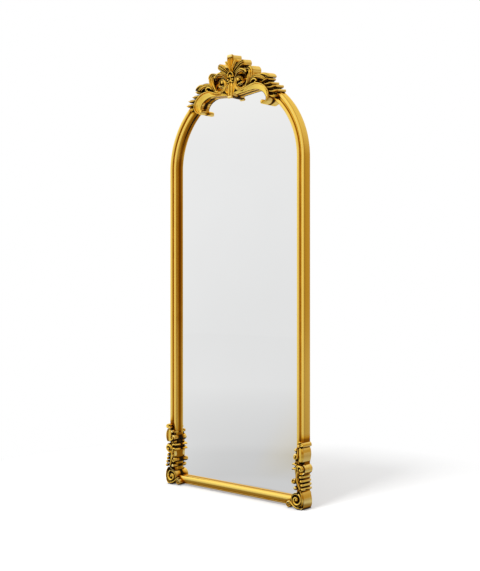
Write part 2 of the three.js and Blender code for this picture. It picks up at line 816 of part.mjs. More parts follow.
function corner(envelope) {
  const seating = new Seating(envelope);
  addPair("foot_scroll", seating.seat(footBody), gilt);
  addPair("foot_rosette", seating.seat(rosette), gilt);
  addPair("corner_scroll", seating.seat(scrollCasting), gilt);
  addPair("corner_collar", seating.seat(limbs([collar])), gilt);
  addPair("corner_wrap", seating.seat(limbs([wrap])), gilt);
  addPair("corner_lobes", seating.seat(limbs([...lobes, lobeBacking])), gilt);
  addPair("corner_curls", seating.seat(innerCurls), gilt);
}

// ---------------------------------------------------------------- fittings

const strapBack = FRAME_DEPTH + GAP;
const barrelRadius = WIRE_RADIUS + WIRE_PLAY + STRAP_THICKNESS;
const barrelDepth = strapBack + barrelRadius;

// A strap whose upper end is bent to a barrel round the ring's straight bar.
function hangerPlate() {
  const half = STRAP_WIDTH / 2;
  const strap = new THREE.Shape();
  strap.moveTo(-half, 0);
  strap.lineTo(-half, half - strapLength);
  strap.absarc(0, half - strapLength, half, Math.PI, 2 * Math.PI, false);
  strap.lineTo(half, 0);
  for (const drop of hangerScrewDrops) {
    const hole = new THREE.Path();
    hole.absarc(0, -drop, SCREW_RADIUS + SCREW_PLAY, 0, 2 * Math.PI);
    strap.holes.push(hole);
  }
  const tube = new THREE.Shape();
  tube.absarc(0, 0, barrelRadius, 0, 2 * Math.PI);
  const bore = new THREE.Path();
  bore.absarc(0, 0, WIRE_RADIUS + WIRE_PLAY, 0, 2 * Math.PI);
  tube.holes.push(bore);
  const barrel = new THREE.ExtrudeGeometry(tube, {
    depth: STRAP_WIDTH,
    bevelEnabled: false,
    curveSegments: 8,
  });
  barrel.rotateY(Math.PI / 2).translate(-half, barrelDepth, 0);
  const body = joined([solid(sheet(strap, strapBack, STRAP_THICKNESS, 5)), solid(barrel)]);
  return geometryOf(body).translate(hangerX, 0, HANGER_HEIGHT);
}

// A D of round wire that hangs from the barrel by its straight side.
function hangerRing() {
  const reach = RING_WIDTH / 2 - WIRE_RADIUS;
  const bend = 3;
  const drop = RING_DROP - reach;
  const path = new THREE.Path();
  path.moveTo(bend - reach, 0);
  path.lineTo(reach - bend, 0);
  path.absarc(reach - bend, -bend, bend, Math.PI / 2, 0, true);
  path.absarc(0, -drop, reach, 0, -Math.PI, true);
  path.absarc(bend - reach, -bend, bend, Math.PI, Math.PI / 2, true);
  const stations = 20;
  const sides = 6;
  const circle = [];
  for (let k = 0; k < sides; k++) {
    const angle = (2 * Math.PI * k) / sides;
    circle.push(new THREE.Vector2(WIRE_RADIUS * Math.cos(angle), WIRE_RADIUS * Math.sin(angle)));
  }
  const rings = [];
  for (let i = 0; i < stations; i++) {
    const p = path.getPointAt(i / stations);
    const along = path.getTangentAt(i / stations);
    const at = (c) => new THREE.Vector3(p.x - along.y * c.x, barrelDepth + c.y, p.y + along.x * c.x);
    rings.push(circle.map(at));
  }
  return loft(rings, circle, true).translate(hangerX, 0, HANGER_HEIGHT);
}

// A felt pad runs under each foot and the wooden heel behind it. The heel makes the stand
// deeper and ends flush with the wall bumpers.
const padMiddle = HALF - BACK_WALL / 2 - 5;

function footPad() {
  const half = PAD_WIDTH / 2;
  return block(padMiddle - half, padMiddle + half, FOOT_FRONT, BUMPER_BACK, 0, PAD_THICKNESS);
}

function footHeel() {
  const half = PAD_WIDTH / 2;
  const corner = half * 0.6;
  const foot = PAD_THICKNESS + GAP;
  const shape = new THREE.Shape();
  shape.moveTo(-half, foot);
  shape.lineTo(half, foot);
  shape.lineTo(half, HEEL_HEIGHT - corner);
  shape.quadraticCurveTo(half, HEEL_HEIGHT, half - corner, HEEL_HEIGHT);
  shape.lineTo(corner - half, HEEL_HEIGHT);
  shape.quadraticCurveTo(-half, HEEL_HEIGHT, -half, HEEL_HEIGHT - corner);
  const front = FRAME_DEPTH + GAP;
  return sheet(shape, front, BUMPER_BACK - front, 4).translate(padMiddle, 0, 0);
}

function wallBumper() {
  const place = archPoint(THREE.MathUtils.degToRad(52), BACK_WALL / 2, 0);
  const back = FRAME_DEPTH + GAP;
  const profile = [
    [0, back],
    [BUMPER_RADIUS, back],
    [BUMPER_RADIUS * 0.85, BUMPER_BACK],
    [0, BUMPER_BACK],
  ].map(([radius, y]) => new THREE.Vector2(radius, y));
  return new THREE.LatheGeometry(profile, 16).translate(place.x, 0, place.z);
}

// ---------------------------------------------------------------- assembly

const envelope = frameEnvelope();

const stileCuts = joined([tongueSlot("spring"), tongueSlot("foot"), stileHoles()]);
addPair("stile", stile().subtract(stileCuts), gilt);
addPair("arch", archHalf().subtract(joined([tongueSlot("spring"), tongueSlot("crown")])), gilt);
addPart("bottom_rail", rail().subtract(withMirror(tongueSlot("foot"))), gilt);

addPart("mirror_glass", glass(), silvered);
addPart("backing_board", backingBoard(), hardboard);

addPart("biscuit_crown", biscuit(...tonguePlaces.crown), beech);
addPair("biscuit_spring", biscuit(...tonguePlaces.spring), beech);
addPair("biscuit_foot", biscuit(...tonguePlaces.foot), beech);

crest(envelope);
corner(envelope);

boardScrewHeights.forEach((z, i) => {
  addPair(`board_screw_${i + 1}`, screw(boardScrewX, z, BOARD_BACK + GAP, BOARD_SCREW_LENGTH), steel);
});
addPair("hanger_plate", hangerPlate(), steel);
addPair("hanger_ring", hangerRing(), steel);
hangerScrewDrops.forEach((drop, i) => {
  const seat = strapBack + STRAP_THICKNESS + GAP;
  addPair(`hanger_screw_${i + 1}`, screw(hangerX, HANGER_HEIGHT - drop, seat, HANGER_SCREW_LENGTH), steel);
});
addPair("wall_bumper", wallBumper(), rubber);
addPair("foot_pad", footPad(), felt);
addPair("foot_heel", footHeel(), beech);

mirror.position.y = -MIDDLE_DEPTH;

export default mirror;
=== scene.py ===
# Looks of a floor mirror in a gilded Rococo frame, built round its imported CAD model.
#
# Shapes are written in millimetres in the CAD source's own frame: X to the right, Y to the
# back from the moulding's front, Z up from the floor. `metres` takes them to the scene.

import math
import json

import bpy
import bmesh
import numpy as np
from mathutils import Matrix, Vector
from mathutils.bvhtree import BVHTree


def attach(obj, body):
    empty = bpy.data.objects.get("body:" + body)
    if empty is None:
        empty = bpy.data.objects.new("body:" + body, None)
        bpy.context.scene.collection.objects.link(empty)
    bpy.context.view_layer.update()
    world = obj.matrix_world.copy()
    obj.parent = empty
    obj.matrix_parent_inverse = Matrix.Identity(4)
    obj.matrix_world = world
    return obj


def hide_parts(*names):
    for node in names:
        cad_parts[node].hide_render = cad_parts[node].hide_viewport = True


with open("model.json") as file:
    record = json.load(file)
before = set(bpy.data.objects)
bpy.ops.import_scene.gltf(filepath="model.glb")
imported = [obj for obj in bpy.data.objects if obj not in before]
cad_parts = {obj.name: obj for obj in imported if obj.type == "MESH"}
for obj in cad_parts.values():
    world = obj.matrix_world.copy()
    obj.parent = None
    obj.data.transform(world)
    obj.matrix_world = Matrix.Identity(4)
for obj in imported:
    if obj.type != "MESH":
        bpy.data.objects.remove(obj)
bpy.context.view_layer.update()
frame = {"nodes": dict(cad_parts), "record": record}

# ---------------------------------------------------------------- sizes, as in the CAD

HALF = 360.0
SPRING = 1316.0
ARCH_RISE = 341.6
ARCH_TOP = SPRING + ARCH_RISE
FRAME_DEPTH = 36.0
STILE_FACE = 38.0
RAIL_FACE = 33.0
RAIL_HEIGHT = 8.0
RAIL_TOP = RAIL_HEIGHT + RAIL_FACE
BEAD_RELIEF = 5.0
OUTER_BEAD = 16.0
GROOVE = 7.0
GLASS_SEAT = 22.0
GLASS_REBATE = 8.0
BOARD_REBATE = 18.0
BOARD_SEAT = 27.6
BOARD_FRONT = 27.9
BOARD_BACK = 31.9
BACK_WALL = STILE_FACE - BOARD_REBATE
CARVING_FRONT = -20.0
SHOULDER = -11.0
CREST_BOARD_FRONT = 8.0
BUMPER_BACK = 45.3
MIDDLE_DEPTH = (CARVING_FRONT + BUMPER_BACK) / 2
GAP = 0.3
GLASS_BACK = GLASS_SEAT - GAP
PAD_THICKNESS = 2.5
SOLE = PAD_THICKNESS + GAP

BODY = "mirror_frame"
rng = np.random.default_rng(7)


def metres(points):
    """Local millimetres to the row frame's metres."""
    points = np.asarray(points, float)
    return (points - np.array([0.0, MIDDLE_DEPTH, 0.0])) * 0.001


# ---------------------------------------------------------------- mesh helpers


def mesh_object(name, points, faces):
    mesh = bpy.data.meshes.new(name)
    mesh.from_pydata([tuple(p) for p in metres(points)], [], [tuple(f) for f in faces])
    mesh.validate()
    shape = bmesh.new()
    shape.from_mesh(mesh)
    bmesh.ops.recalc_face_normals(shape, faces=shape.faces)
    shape.to_mesh(mesh)
    shape.free()
    ob = bpy.data.objects.new(name, mesh)
    bpy.context.scene.collection.objects.link(ob)
    return ob


def loft(rings, closed=False):
    """Points and faces of one closed body through rings of matching points."""
    count = len(rings[0])
    points = np.concatenate(rings)
    faces = []
    spans = len(rings) if closed else len(rings) - 1
    for i in range(spans):
        here = i * count
        there = ((i + 1) % len(rings)) * count
        for k in range(count):
            after = (k + 1) % count
            faces.append((here + k, here + after, there + after, there + k))
    if not closed:
        faces.append(tuple(range(count)))
        faces.append(tuple(range((len(rings) - 1) * count, len(rings) * count)))
    return points, faces


def merged(shapes):
    points, faces, start = [], [], 0
    for p, f in shapes:
        points.append(np.asarray(p, float))
        faces += [tuple(i + start for i in face) for face in f]
        start += len(p)
    return np.concatenate(points), faces


def flipped(shape):
    """Mirror image in X."""
    points, faces = shape
    points = np.array(points, float)
    points[:, 0] *= -1
    return points, [tuple(reversed(f)) for f in faces]


def apply_modifiers(ob):
    """Bakes an object's modifiers into its mesh."""
    graph = bpy.context.evaluated_depsgraph_get()
    mesh = bpy.data.meshes.new_from_object(ob.evaluated_get(graph))
    old = ob.data
    ob.modifiers.clear()
    ob.data = mesh
    bpy.data.meshes.remove(old)


def smooth_shading(ob, angle=None):
    ob.data.polygons.foreach_set("use_smooth", [True] * len(ob.data.polygons))
    if angle is not None:
        with bpy.context.temp_override(object=ob, active_object=ob, selected_editable_objects=[ob]):
            bpy.ops.object.shade_smooth_by_angle(angle=math.radians(angle))


def bevelled(ob, width, segments=2):
    bevel = ob.modifiers.new("bevel", "BEVEL")
    bevel.width = width * 0.001
    bevel.segments = segments
    bevel.limit_method = "ANGLE"
    bevel.angle_limit = math.radians(30)
    bevel.harden_normals = False
    apply_modifiers(ob)


def mirrored_object(ob, name):
    mesh = ob.data.copy()
    shape = bmesh.new()
    shape.from_mesh(mesh)
    for v in shape.verts:
        v.co.x = -v.co.x
    bmesh.ops.reverse_faces(shape, faces=shape.faces)
    shape.to_mesh(mesh)
    shape.free()
    twin = bpy.data.objects.new(name, mesh)
    bpy.context.scene.collection.objects.link(twin)
    return twin


# ---------------------------------------------------------------- lines and limbs


def catmull(points, t):
    """Smooth line through points, at the places t from 0 to 1."""
    p = np.asarray(points, float)
    p = np.vstack([2 * p[0] - p[1], p, 2 * p[-1] - p[-2]])
    place = np.clip(t, 0, 1) * (len(p) - 3)
    i = np.minimum(place.astype(int), len(p) - 4)
    u = (place - i)[:, None]
    a, b, c, d = p[i], p[i + 1], p[i + 2], p[i + 3]
    return 0.5 * (
        2 * b + (c - a) * u + (2 * a - 5 * b + 4 * c - d) * u**2 + (3 * b - a - 3 * c + d) * u**3
    )


def along(values, t):
    """Values spread evenly over 0 to 1, eased between them."""
    values = np.atleast_1d(np.asarray(values, float))
    if len(values) == 1:
        return np.full(len(t), values[0])
    return catmull(values[:, None], t)[:, 0]


def spiral(x, z, from_angle, to_angle, from_radius, to_radius, count=40):
    angle = np.radians(np.linspace(from_angle, to_angle, count))
    radius = np.linspace(from_radius, to_radius, count)
    return np.stack([x + radius * np.cos(angle), z + radius * np.sin(angle)], 1)


def smooth_line(points, steps):
    """Places from 0 to 1, points and unit tangents along a smooth line."""
    t = np.linspace(0, 1, steps)
    centre = catmull(points, t)
    tangent = np.gradient(centre, t, axis=0)
    return t, centre, tangent / (np.linalg.norm(tangent, axis=1)[:, None] + 1e-9)


def square_ring(centre, tangent, front_part, wall, behind=()):
    """A ring set square to a line in the front view, of (across, depth) points.

    The same wall goes down both sides of its front part."""
    section = [*front_part, *wall, *behind, *((-a, y) for a, y in reversed(wall))]
    return np.array([(centre[0] - tangent[1] * a, y, centre[1] + tangent[0] * a) for a, y in section])


def limb(
    line, widths, front, drop=8.0, back=CREST_BOARD_FRONT, flutes=0, cut=3.0,
    steps=44, across=22, tip_drop=5.0, blunt=0.55,
):
    """A carved limb along a line in the front view, as points and faces.

    `front` is the depth of its ridge along the way, and `drop` how far its edges lie behind it.
    `flutes` grooves run along it, `cut` deep. Its ends are round over `blunt` times their half
    width, and fall back by `tip_drop`."""
    t, centre, tangent = smooth_line(line, steps)
    half = np.maximum(along(widths, t), 0.4)
    depth, edge, backs = along(front, t), along(drop, t), along(back, t)
    length = np.concatenate([[0], np.cumsum(np.linalg.norm(np.diff(centre, axis=0), axis=1))])
    round_off = np.ones(steps)
    for from_end, radius in ((length, half[0]), (length[-1] - length, half[-1])):
        u = np.clip(from_end / max(radius * blunt, 2.0), 0, 1)
        round_off = np.minimum(round_off, np.sqrt(np.clip(1 - (1 - u) ** 2, 0.0025, 1)))
    half = half * round_off
    depth = depth + tip_drop * (1 - round_off)
    s = np.linspace(-1, 1, across)
    wave = 0.5 - 0.5 * np.cos(np.pi * flutes * s + (math.pi if flutes % 2 == 0 else 0))
    grooves = cut * wave * np.clip(1 - np.abs(s) ** 6, 0, 1) if flutes else 0 * s
    rings = []
    for i in range(steps):
        relief = depth[i] + edge[i] * s**2 + grooves * round_off[i]
        shoulder = max(relief[0], relief[-1])
        wall = [(half[i], shoulder + (backs[i] - shoulder) * f) for f in (0.35, 0.7, 1.0)]
        behind = [(half[i] * w, backs[i]) for w in np.linspace(1, -1, 9)[1:-1]]
        rings.append(square_ring(centre[i], tangent[i], zip(s * half[i], relief), wall, behind))
    return loft(rings)


def lathe(profile, x, z, sides=32):
    """A turned body whose axis points to the back; `profile` holds (radius, depth)."""
    angle = np.linspace(0, 2 * math.pi, sides, endpoint=False)
    rings = []
    for r, y in profile:
        r = max(r, 0.02)
        rings.append(np.stack([x + r * np.cos(angle), np.full(sides, y), z + r * np.sin(angle)], 1))
    return loft(rings)


def ball(x, z, radius, front, back):
    """A bead or a scroll's eye: a dome on a round stem."""
    profile = []
    for a in np.linspace(0, math.pi / 2, 9):
        profile.append((max(radius * math.sin(a), 0.05), front + radius * (1 - math.cos(a))))
    return lathe(profile + [(radius, back)], x, z, 24)


def bent(a, b, c, places):
    """Points of a curve from a to c that leaves and arrives in the direction of b."""
    a, b, c = (np.array(p, float) for p in (a, b, c))
    return [(1 - u) ** 2 * a + 2 * u * (1 - u) * b + u**2 * c for u in places]


def prism(outline, front, back):
    """A plate with an outline of (x, z) points."""
    return loft([np.array([(x, y, z) for x, z in outline], float) for y in (front, back)])


def crest_points(*points):
    return np.array([(x, ARCH_TOP + z) for x, z in points], float)


def corner_points(*points):
    return np.array([(HALF + x, z) for x, z in points], float)


# ---------------------------------------------------------------- mouldings


def bead(start, end, relief, steps=14):
    a = np.linspace(0, math.pi, steps)
    middle, half = (start + end) / 2, (end - start) / 2
    return [(middle - half * math.cos(x), relief * (1 - math.sin(x))) for x in a]


def rebates(face):
    return [
        (face, GLASS_SEAT), (face - GLASS_REBATE, GLASS_SEAT), (face - GLASS_REBATE, BOARD_SEAT),
        (face - BOARD_REBATE, BOARD_SEAT), (face - BOARD_REBATE, FRAME_DEPTH),
        (0.8, FRAME_DEPTH), (0.0, FRAME_DEPTH - 0.8),
    ]


def stile_section():
    inner = STILE_FACE
    return (
        bead(0, OUTER_BEAD, BEAD_RELIEF)
        + [(OUTER_BEAD + 1.2, BEAD_RELIEF + 1.2), (OUTER_BEAD + GROOVE - 1.2, BEAD_RELIEF + 1.2)]
        + bead(OUTER_BEAD + GROOVE, inner, BEAD_RELIEF)
        + [(inner, BEAD_RELIEF + 4), (inner, BEAD_RELIEF + 10)]
        + rebates(inner)
        + [(0.0, 26.0), (0.0, 16.0)]
    )


def arch_ring(angle, section):
    slope = np.array([math.cos(angle) / HALF, math.sin(angle) / ARCH_RISE])
    normal = slope / np.linalg.norm(slope)
    x, z = HALF * math.cos(angle), SPRING + ARCH_RISE * math.sin(angle)
    return np.array([(x - normal[0] * d, y, z - normal[1] * d) for d, y in section])


def moulding():
    """The right post and the right half of the arch, as one run."""
    section = stile_section()
    rings = []
    for z in np.linspace(RAIL_HEIGHT, SPRING, 66)[:-1]:
        rings.append(np.array([(HALF - d, y, z) for d, y in section]))
    for angle in np.linspace(0, math.pi / 2, 60):
        rings.append(arch_ring(angle, section))
    return loft(rings)


def rail():
    face = RAIL_FACE
    lip = face / 6
    relief = BEAD_RELIEF * 1.4
    section = (
        [(0, BEAD_RELIEF * 1.6), (lip * 0.8, BEAD_RELIEF * 1.6 - 0.6)]
        + [(lip, BEAD_RELIEF * 1.6 - 0.2)]
        + bead(lip, face, relief, 20)[1:]
        + [(face, relief + 5), (face, relief + 10)]
        + rebates(face)
        + [(0.0, 20.0)]
    )
    rings = []
    reach = HALF - STILE_FACE + 1
    for x in np.linspace(-reach, reach, 60):
        rings.append(np.array([(x, y, RAIL_HEIGHT + d) for d, y in section]))
    return loft(rings)


# ---------------------------------------------------------------- materials


class Nodes:
    """Short calls to build a node tree."""

    def __init__(self, tree):
        self.tree = tree
        tree.nodes.clear()

    def add(self, kind, **settings):
        node = self.tree.nodes.new(kind)
        inputs = settings.pop("inputs", {})
        for key, value in settings.items():
            setattr(node, key, value)
        for key, value in inputs.items():
            socket = node.inputs[key]
            if isinstance(value, bpy.types.NodeSocket):
                self.tree.links.new(value, socket)
            else:
                socket.default_value = value
        return node

    def where(self):
        return self.add("ShaderNodeTexCoord").outputs["Object"]

    def math(self, operation, a, b):
        return self.add("ShaderNodeMath", operation=operation, inputs={0: a, 1: b}).outputs[0]

    def vector(self, operation, a, b=None, output=0):
        second = {} if b is None else {"Scale" if operation == "SCALE" else 1: b}
        node = self.add("ShaderNodeVectorMath", operation=operation, inputs={0: a, **second})
        return node.outputs[output]

    def mostly(self, more, less):
        """Six parts of one value and four of another."""
        return self.math("ADD", self.math("MULTIPLY", more, 0.6), self.math("MULTIPLY", less, 0.4))

    def ramp(self, value, stops):
        node = self.add("ShaderNodeValToRGB", inputs={0: value})
        elements = node.color_ramp.elements
        while len(elements) > 1:
            elements.remove(elements[-1])
        for i, (place, colour) in enumerate(stops):
            element = elements[0] if i == 0 else elements.new(place)
            element.position = place
            element.color = (*colour, 1)
        return node.outputs[0]

    def mix(self, factor, a, b, blend="MIX"):
        a, b = ((*c, 1) if isinstance(c, tuple) else c for c in (a, b))
        inputs = {0: factor, 6: a, 7: b}
        return self.add("ShaderNodeMix", data_type="RGBA", blend_type=blend, inputs=inputs).outputs[2]

    def spread(self, value, low, high, to_low=0.0, to_high=1.0):
        """The value's place between low and high, held within the new range."""
        inputs = {0: value, 1: low, 2: high, 3: to_low, 4: to_high}
        return self.add("ShaderNodeMapRange", clamp=True, inputs=inputs).outputs[0]

    def noise(self, scale, detail, roughness, vector):
        inputs = {"Scale": scale, "Detail": detail, "Roughness": roughness, "Vector": vector}
        return self.add("ShaderNodeTexNoise", inputs=inputs).outputs[0]


def material(name):
    mat = bpy.data.materials.new(name)
    mat.use_nodes = True
    return mat, Nodes(mat.node_tree)


def finish_material(n, shader):
    out = n.add("ShaderNodeOutputMaterial")
    n.tree.links.new(shader.outputs[0], out.inputs[0])


def principled(n, tone, roughness, bumps=None, more=None):
    """A plain surface; `bumps` holds their strength, distance and height."""
    inputs = {"Base Color": tone, "Roughness": roughness, **(more or {})}
    if bumps:
        settings = dict(zip(("Strength", "Distance", "Height"), bumps))
        inputs["Normal"] = n.add("ShaderNodeBump", inputs=settings).outputs[0]
    return n.add("ShaderNodeBsdfPrincipled", inputs=inputs)


GOLD = (0.975, 0.71, 0.165)
# Pale gold of worn edges, which also serves as a painted highlight
GOLD_WORN_HIGHLIGHT = (1.0, 0.80, 0.30)
GOLD_RICH = (1.0, 0.71, 0.135)
# Colours of the painted shade in recesses, partly an umber glaze: warm gold, brown, and a black shadow
GOLD_WARM_GLAZE_AND_SHADE = (0.90, 0.50, 0.040)
GOLD_DEEP_GLAZE_AND_SHADE = (0.40, 0.160, 0.008)
UMBER_AND_SHADOW = (0.016, 0.006, 0.001)


def gilt(n, deep, warm, under, rough, black, gold, wear_and_highlight):
    """Gold paint over a cast body, darkened in its recesses by umber glaze and painted shade.

    The mesh's attribute `open` is 1 in the open and 0 deep in a pocket, and `ridge` is above
    0.5 on edges, which are lightened both as burnished wear and as a painted highlight. The gold
    turns warm where it is less open than `warm`, brown below `deep`, and umber a further `black`
    below that: an umber glaze together with painted shade, ending in a painted black shadow in
    the deepest pockets. `under` is taken off on undersides, as painted shade."""
    where = n.where()
    opened = n.add("ShaderNodeAttribute", attribute_name="open").outputs["Fac"]
    ridge = n.add("ShaderNodeAttribute", attribute_name="ridge").outputs["Fac"]
    normal = n.add("ShaderNodeNewGeometry").outputs["Normal"]
    facing_up = n.add("ShaderNodeSeparateXYZ", inputs={0: normal}).outputs[2]
    cloud = n.noise(14.0, 5.0, 0.65, where)
    fine = n.noise(60.0, 3.0, 0.6, where)
    # Painted shade follows how open the surface lies, with a little random tone from the noise
    shade = n.math("ADD", opened, n.math("MULTIPLY", n.math("SUBTRACT", cloud, 0.5), 0.10))
    # Painted shade: surfaces that face down are darkened by `under`
    shade = n.math("SUBTRACT", shade, n.spread(facing_up, -0.7, -0.1, under, 0.0))
    # Wear and a painted highlight: ridges are lightened to a pale gold
    worn_and_highlit = n.mix(n.spread(ridge, *wear_and_highlight), gold, GOLD_WORN_HIGHLIGHT)
    # Painted shade in recesses, together with an umber glaze: less open places turn warm, then brown
    base = n.mix(n.spread(shade, warm, warm + 0.10), GOLD_WARM_GLAZE_AND_SHADE, worn_and_highlit)
    base = n.mix(n.spread(shade, deep, warm), GOLD_DEEP_GLAZE_AND_SHADE, base)
    # A painted black shadow fills the deepest pockets, which are also made less metallic there
    buried_in_shadow = n.spread(shade, deep - black - 0.11, deep - black, 1.0, 0.0)
    base = n.mix(buried_in_shadow, base, UMBER_AND_SHADOW)
    sheen = n.spread(cloud, 0.3, 0.7, rough - 0.03, rough + 0.04)
    return principled(
        n, base, n.math("ADD", n.math("MULTIPLY", buried_in_shadow, 0.35), sheen), (0.05, 0.0006, fine),
        {
            "Metallic": n.math("SUBTRACT", 1.0, n.math("MULTIPLY", buried_in_shadow, 0.7)),
            "Specular IOR Level": 0.2, "Specular Tint": (1.0, 0.80, 0.45, 1.0),
        },
    )


def mirror_glass(n):
    faint = n.noise(2.0, 2.0, 0.5, n.where())
    tone = n.ramp(faint, [(0.3, (0.93, 0.935, 0.935)), (0.7, (0.95, 0.955, 0.955))])
    return principled(n, tone, 0.012, more={"Metallic": 1.0})


def hardboard(n):
    where = n.where()
    fibres = n.noise(900.0, 6.0, 0.75, where)
    blotch = n.noise(9.0, 4.0, 0.6, where)
    tone = n.ramp(n.mostly(fibres, blotch), [
        (0.30, (0.105, 0.058, 0.028)), (0.5, (0.165, 0.095, 0.047)), (0.70, (0.225, 0.137, 0.070)),
    ])
    weave = n.add("ShaderNodeTexVoronoi", inputs={"Scale": 620.0, "Vector": where}).outputs[0]
    bumps = (0.35, 0.0004, n.mostly(weave, fibres))
    return principled(n, tone, n.spread(fibres, 0.3, 0.7, 0.62, 0.82), bumps)


def beech(n):
    stretch = {"Vector": n.where(), "Scale": (20.0, 160.0, 160.0)}
    grain = n.noise(4.0, 6.0, 0.7, n.add("ShaderNodeMapping", inputs=stretch).outputs[0])
    tone = n.ramp(grain, [(0.3, (0.42, 0.24, 0.115)), (0.7, (0.60, 0.39, 0.21))])
    return principled(n, tone, n.spread(grain, 0.3, 0.7, 0.5, 0.65), (0.2, 0.0003, grain))


def zinc(n):
    where = n.where()
    crystals = n.add("ShaderNodeTexVoronoi", inputs={"Scale": 420.0, "Vector": where}).outputs[1]
    grey = n.add("ShaderNodeRGBToBW", inputs={0: crystals}).outputs[0]
    cloud = n.noise(120.0, 4.0, 0.6, where)
    tone = n.ramp(n.mostly(cloud, grey), [(0.25, (0.47, 0.47, 0.45)), (0.75, (0.70, 0.70, 0.68))])
    return principled(n, tone, n.spread(cloud, 0.3, 0.7, 0.26, 0.42), more={"Metallic": 1.0})


def rubber(n):
    speck = n.noise(500.0, 3.0, 0.6, n.where())
    tone = n.ramp(speck, [(0.3, (0.014, 0.014, 0.015)), (0.7, (0.034, 0.034, 0.035))])
    return principled(n, tone, n.spread(speck, 0.3, 0.7, 0.55, 0.75), (0.25, 0.0002, speck))


def felt(n):
    where = n.where()
    fibre = n.noise(1500.0, 6.0, 0.8, where)
    tone = n.ramp(n.mostly(fibre, n.noise(220.0, 3.0, 0.6, where)), [
        (0.3, (0.055, 0.036, 0.022)), (0.7, (0.115, 0.080, 0.052)),
    ])
    return principled(n, tone, 0.95, (0.5, 0.0005, fibre), {"Sheen Weight": 0.35})


MATERIALS = {}
# Gilt settings: where the painted shade turns brown and warm, the painted underside shade, roughness, the
# painted black shadow's margin, the gold, and the ridge range for wear and painted highlight
for slot, build, settings in (
    ("gilt_moulding", gilt, (0.66, 0.83, 0.28, 0.18, 0.22, GOLD, (0.52, 0.81))),
    ("gilt_carving", gilt, (0.45, 0.51, 0.45, 0.14, 0.0, GOLD_RICH, (0.62, 0.90))),
    ("silvered_glass", mirror_glass, ()), ("hardboard", hardboard, ()), ("beech", beech, ()),
    ("zinc_steel", zinc, ()), ("rubber", rubber, ()), ("felt", felt, ()),
):
    MATERIALS[slot], n = material(slot)
    finish_material(n, build(n, *settings))


def dress(ob, slot, replaced, body=BODY):
    ob.data.materials.clear()
    ob.data.materials.append(MATERIALS[slot])
    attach(ob, body)
    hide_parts(*replaced)
    return ob


# The CAD nodes that stay take their finish from the record's slots.
for part in frame["record"]["subparts"]:
    node = frame["nodes"][part["node"]]
    node.data.materials.clear()
    node.data.materials.append(MATERIALS[part["material_slot"]])

gilded = []


def gild(ob, slot, replaced):
    gilded.append(ob)
    return dress(ob, slot, replaced)


# ---------------------------------------------------------------- the frame

right = mesh_object("moulding_right", *moulding())
smooth_shading(right, 40)
left = mirrored_object(right, "moulding_left")
gild(right, "gilt_moulding", ["stile_right", "arch_right"])
gild(left, "gilt_moulding", ["stile_left", "arch_left"])
foot_rail = mesh_object("moulding_rail", *rail())
smooth_shading(foot_rail, 40)
gild(foot_rail, "gilt_moulding", ["bottom_rail"])

# ---------------------------------------------------------------- carving

PLUME_TIP = 83.4
SCROLL = 150.0
VOLUTE_X, VOLUTE_Z = HALF - 26.0, 35.0
KNOB_SIDES = 28
ARCH_REACH = 350.0
SHELTERED = 8.0


def tucked(points, lowest=None):
    """Keeps local points within the carving's front and what lies behind it.

    That is the glass and its board farther in than `SHELTERED`, and the frame's back outside."""
    points = np.array(points, float)
    x, z = np.abs(points[:, 0]), points[:, 2]
    from_centre = np.sqrt((x / HALF) ** 2 + (np.maximum(z - SPRING, 0) / ARCH_RISE) ** 2)
    inset = np.where(z > SPRING, (1 - from_centre) * ARCH_REACH, HALF - x)
    farthest = np.where(inset > 0, FRAME_DEPTH - GAP, FRAME_DEPTH)
    farthest = np.where(inset > SHELTERED, GLASS_BACK, farthest)
    points[:, 1] = np.clip(points[:, 1], CARVING_FRONT, farthest)
    if lowest is not None:
        points[:, 2] = np.maximum(points[:, 2], lowest)
    return points


def capsule(start, end, radius, sides=20, ends=6):
    """A roll with round ends between two (x, y, z) points."""
    start, end = np.asarray(start, float), np.asarray(end, float)
    axis = end - start
    axis /= np.linalg.norm(axis)
    helper = np.array([0.0, 1.0, 0.0]) if abs(axis[1]) < 0.9 else np.array([1.0, 0.0, 0.0])
    u = np.cross(axis, helper)
    u /= np.linalg.norm(u)
    v = np.cross(axis, u)
    angle = np.linspace(0, 2 * math.pi, sides, endpoint=False)
    circle = np.outer(np.cos(angle), u) + np.outer(np.sin(angle), v)
    rings = []
    for centre, low, high in ((start, 0.05 - math.pi / 2, 0), (end, 0, math.pi / 2 - 0.05)):
        for a in np.linspace(low, high, ends):
            rings.append(centre + axis * radius * math.sin(a) + radius * math.cos(a) * circle)
    return loft(rings)


def carve(name, shapes, centre=False, lowest=None, rise=0.0):
    """One casting of shapes that grow into each other, on the right and mirrored on the left.

    A casting of the centre has both sides in one. `rise` lifts it towards its back."""
    if centre:
        shapes = shapes + [flipped(shape) for shape in shapes if abs(shape[0][:, 0].mean()) > 0.5]
    points, faces = merged(shapes)
    points[:, 2] += rise * np.maximum(points[:, 1] - SHOULDER, 0)
    node = name.removesuffix("_carved")
    side = "" if centre else "_right"
    ob = mesh_object(name + side, tucked(points, lowest), faces)
    smooth_shading(ob, 50)
    gild(ob, "gilt_carving", [node + side])
    if not centre:
        gild(mirrored_object(ob, f"{name}_left"), "gilt_carving", [f"{node}_left"])


def crest_leaf(points, widths, front, back=None, **more):
    if back is None:
        back = FRAME_DEPTH - 0.4 - rng.uniform(0, 1.2)
    return limb(crest_points(*points), widths, front, back=back, **more)


def crest_ball(x, z, radius, front):
    return ball(x, ARCH_TOP + z, radius, front, CREST_BOARD_FRONT + 1)


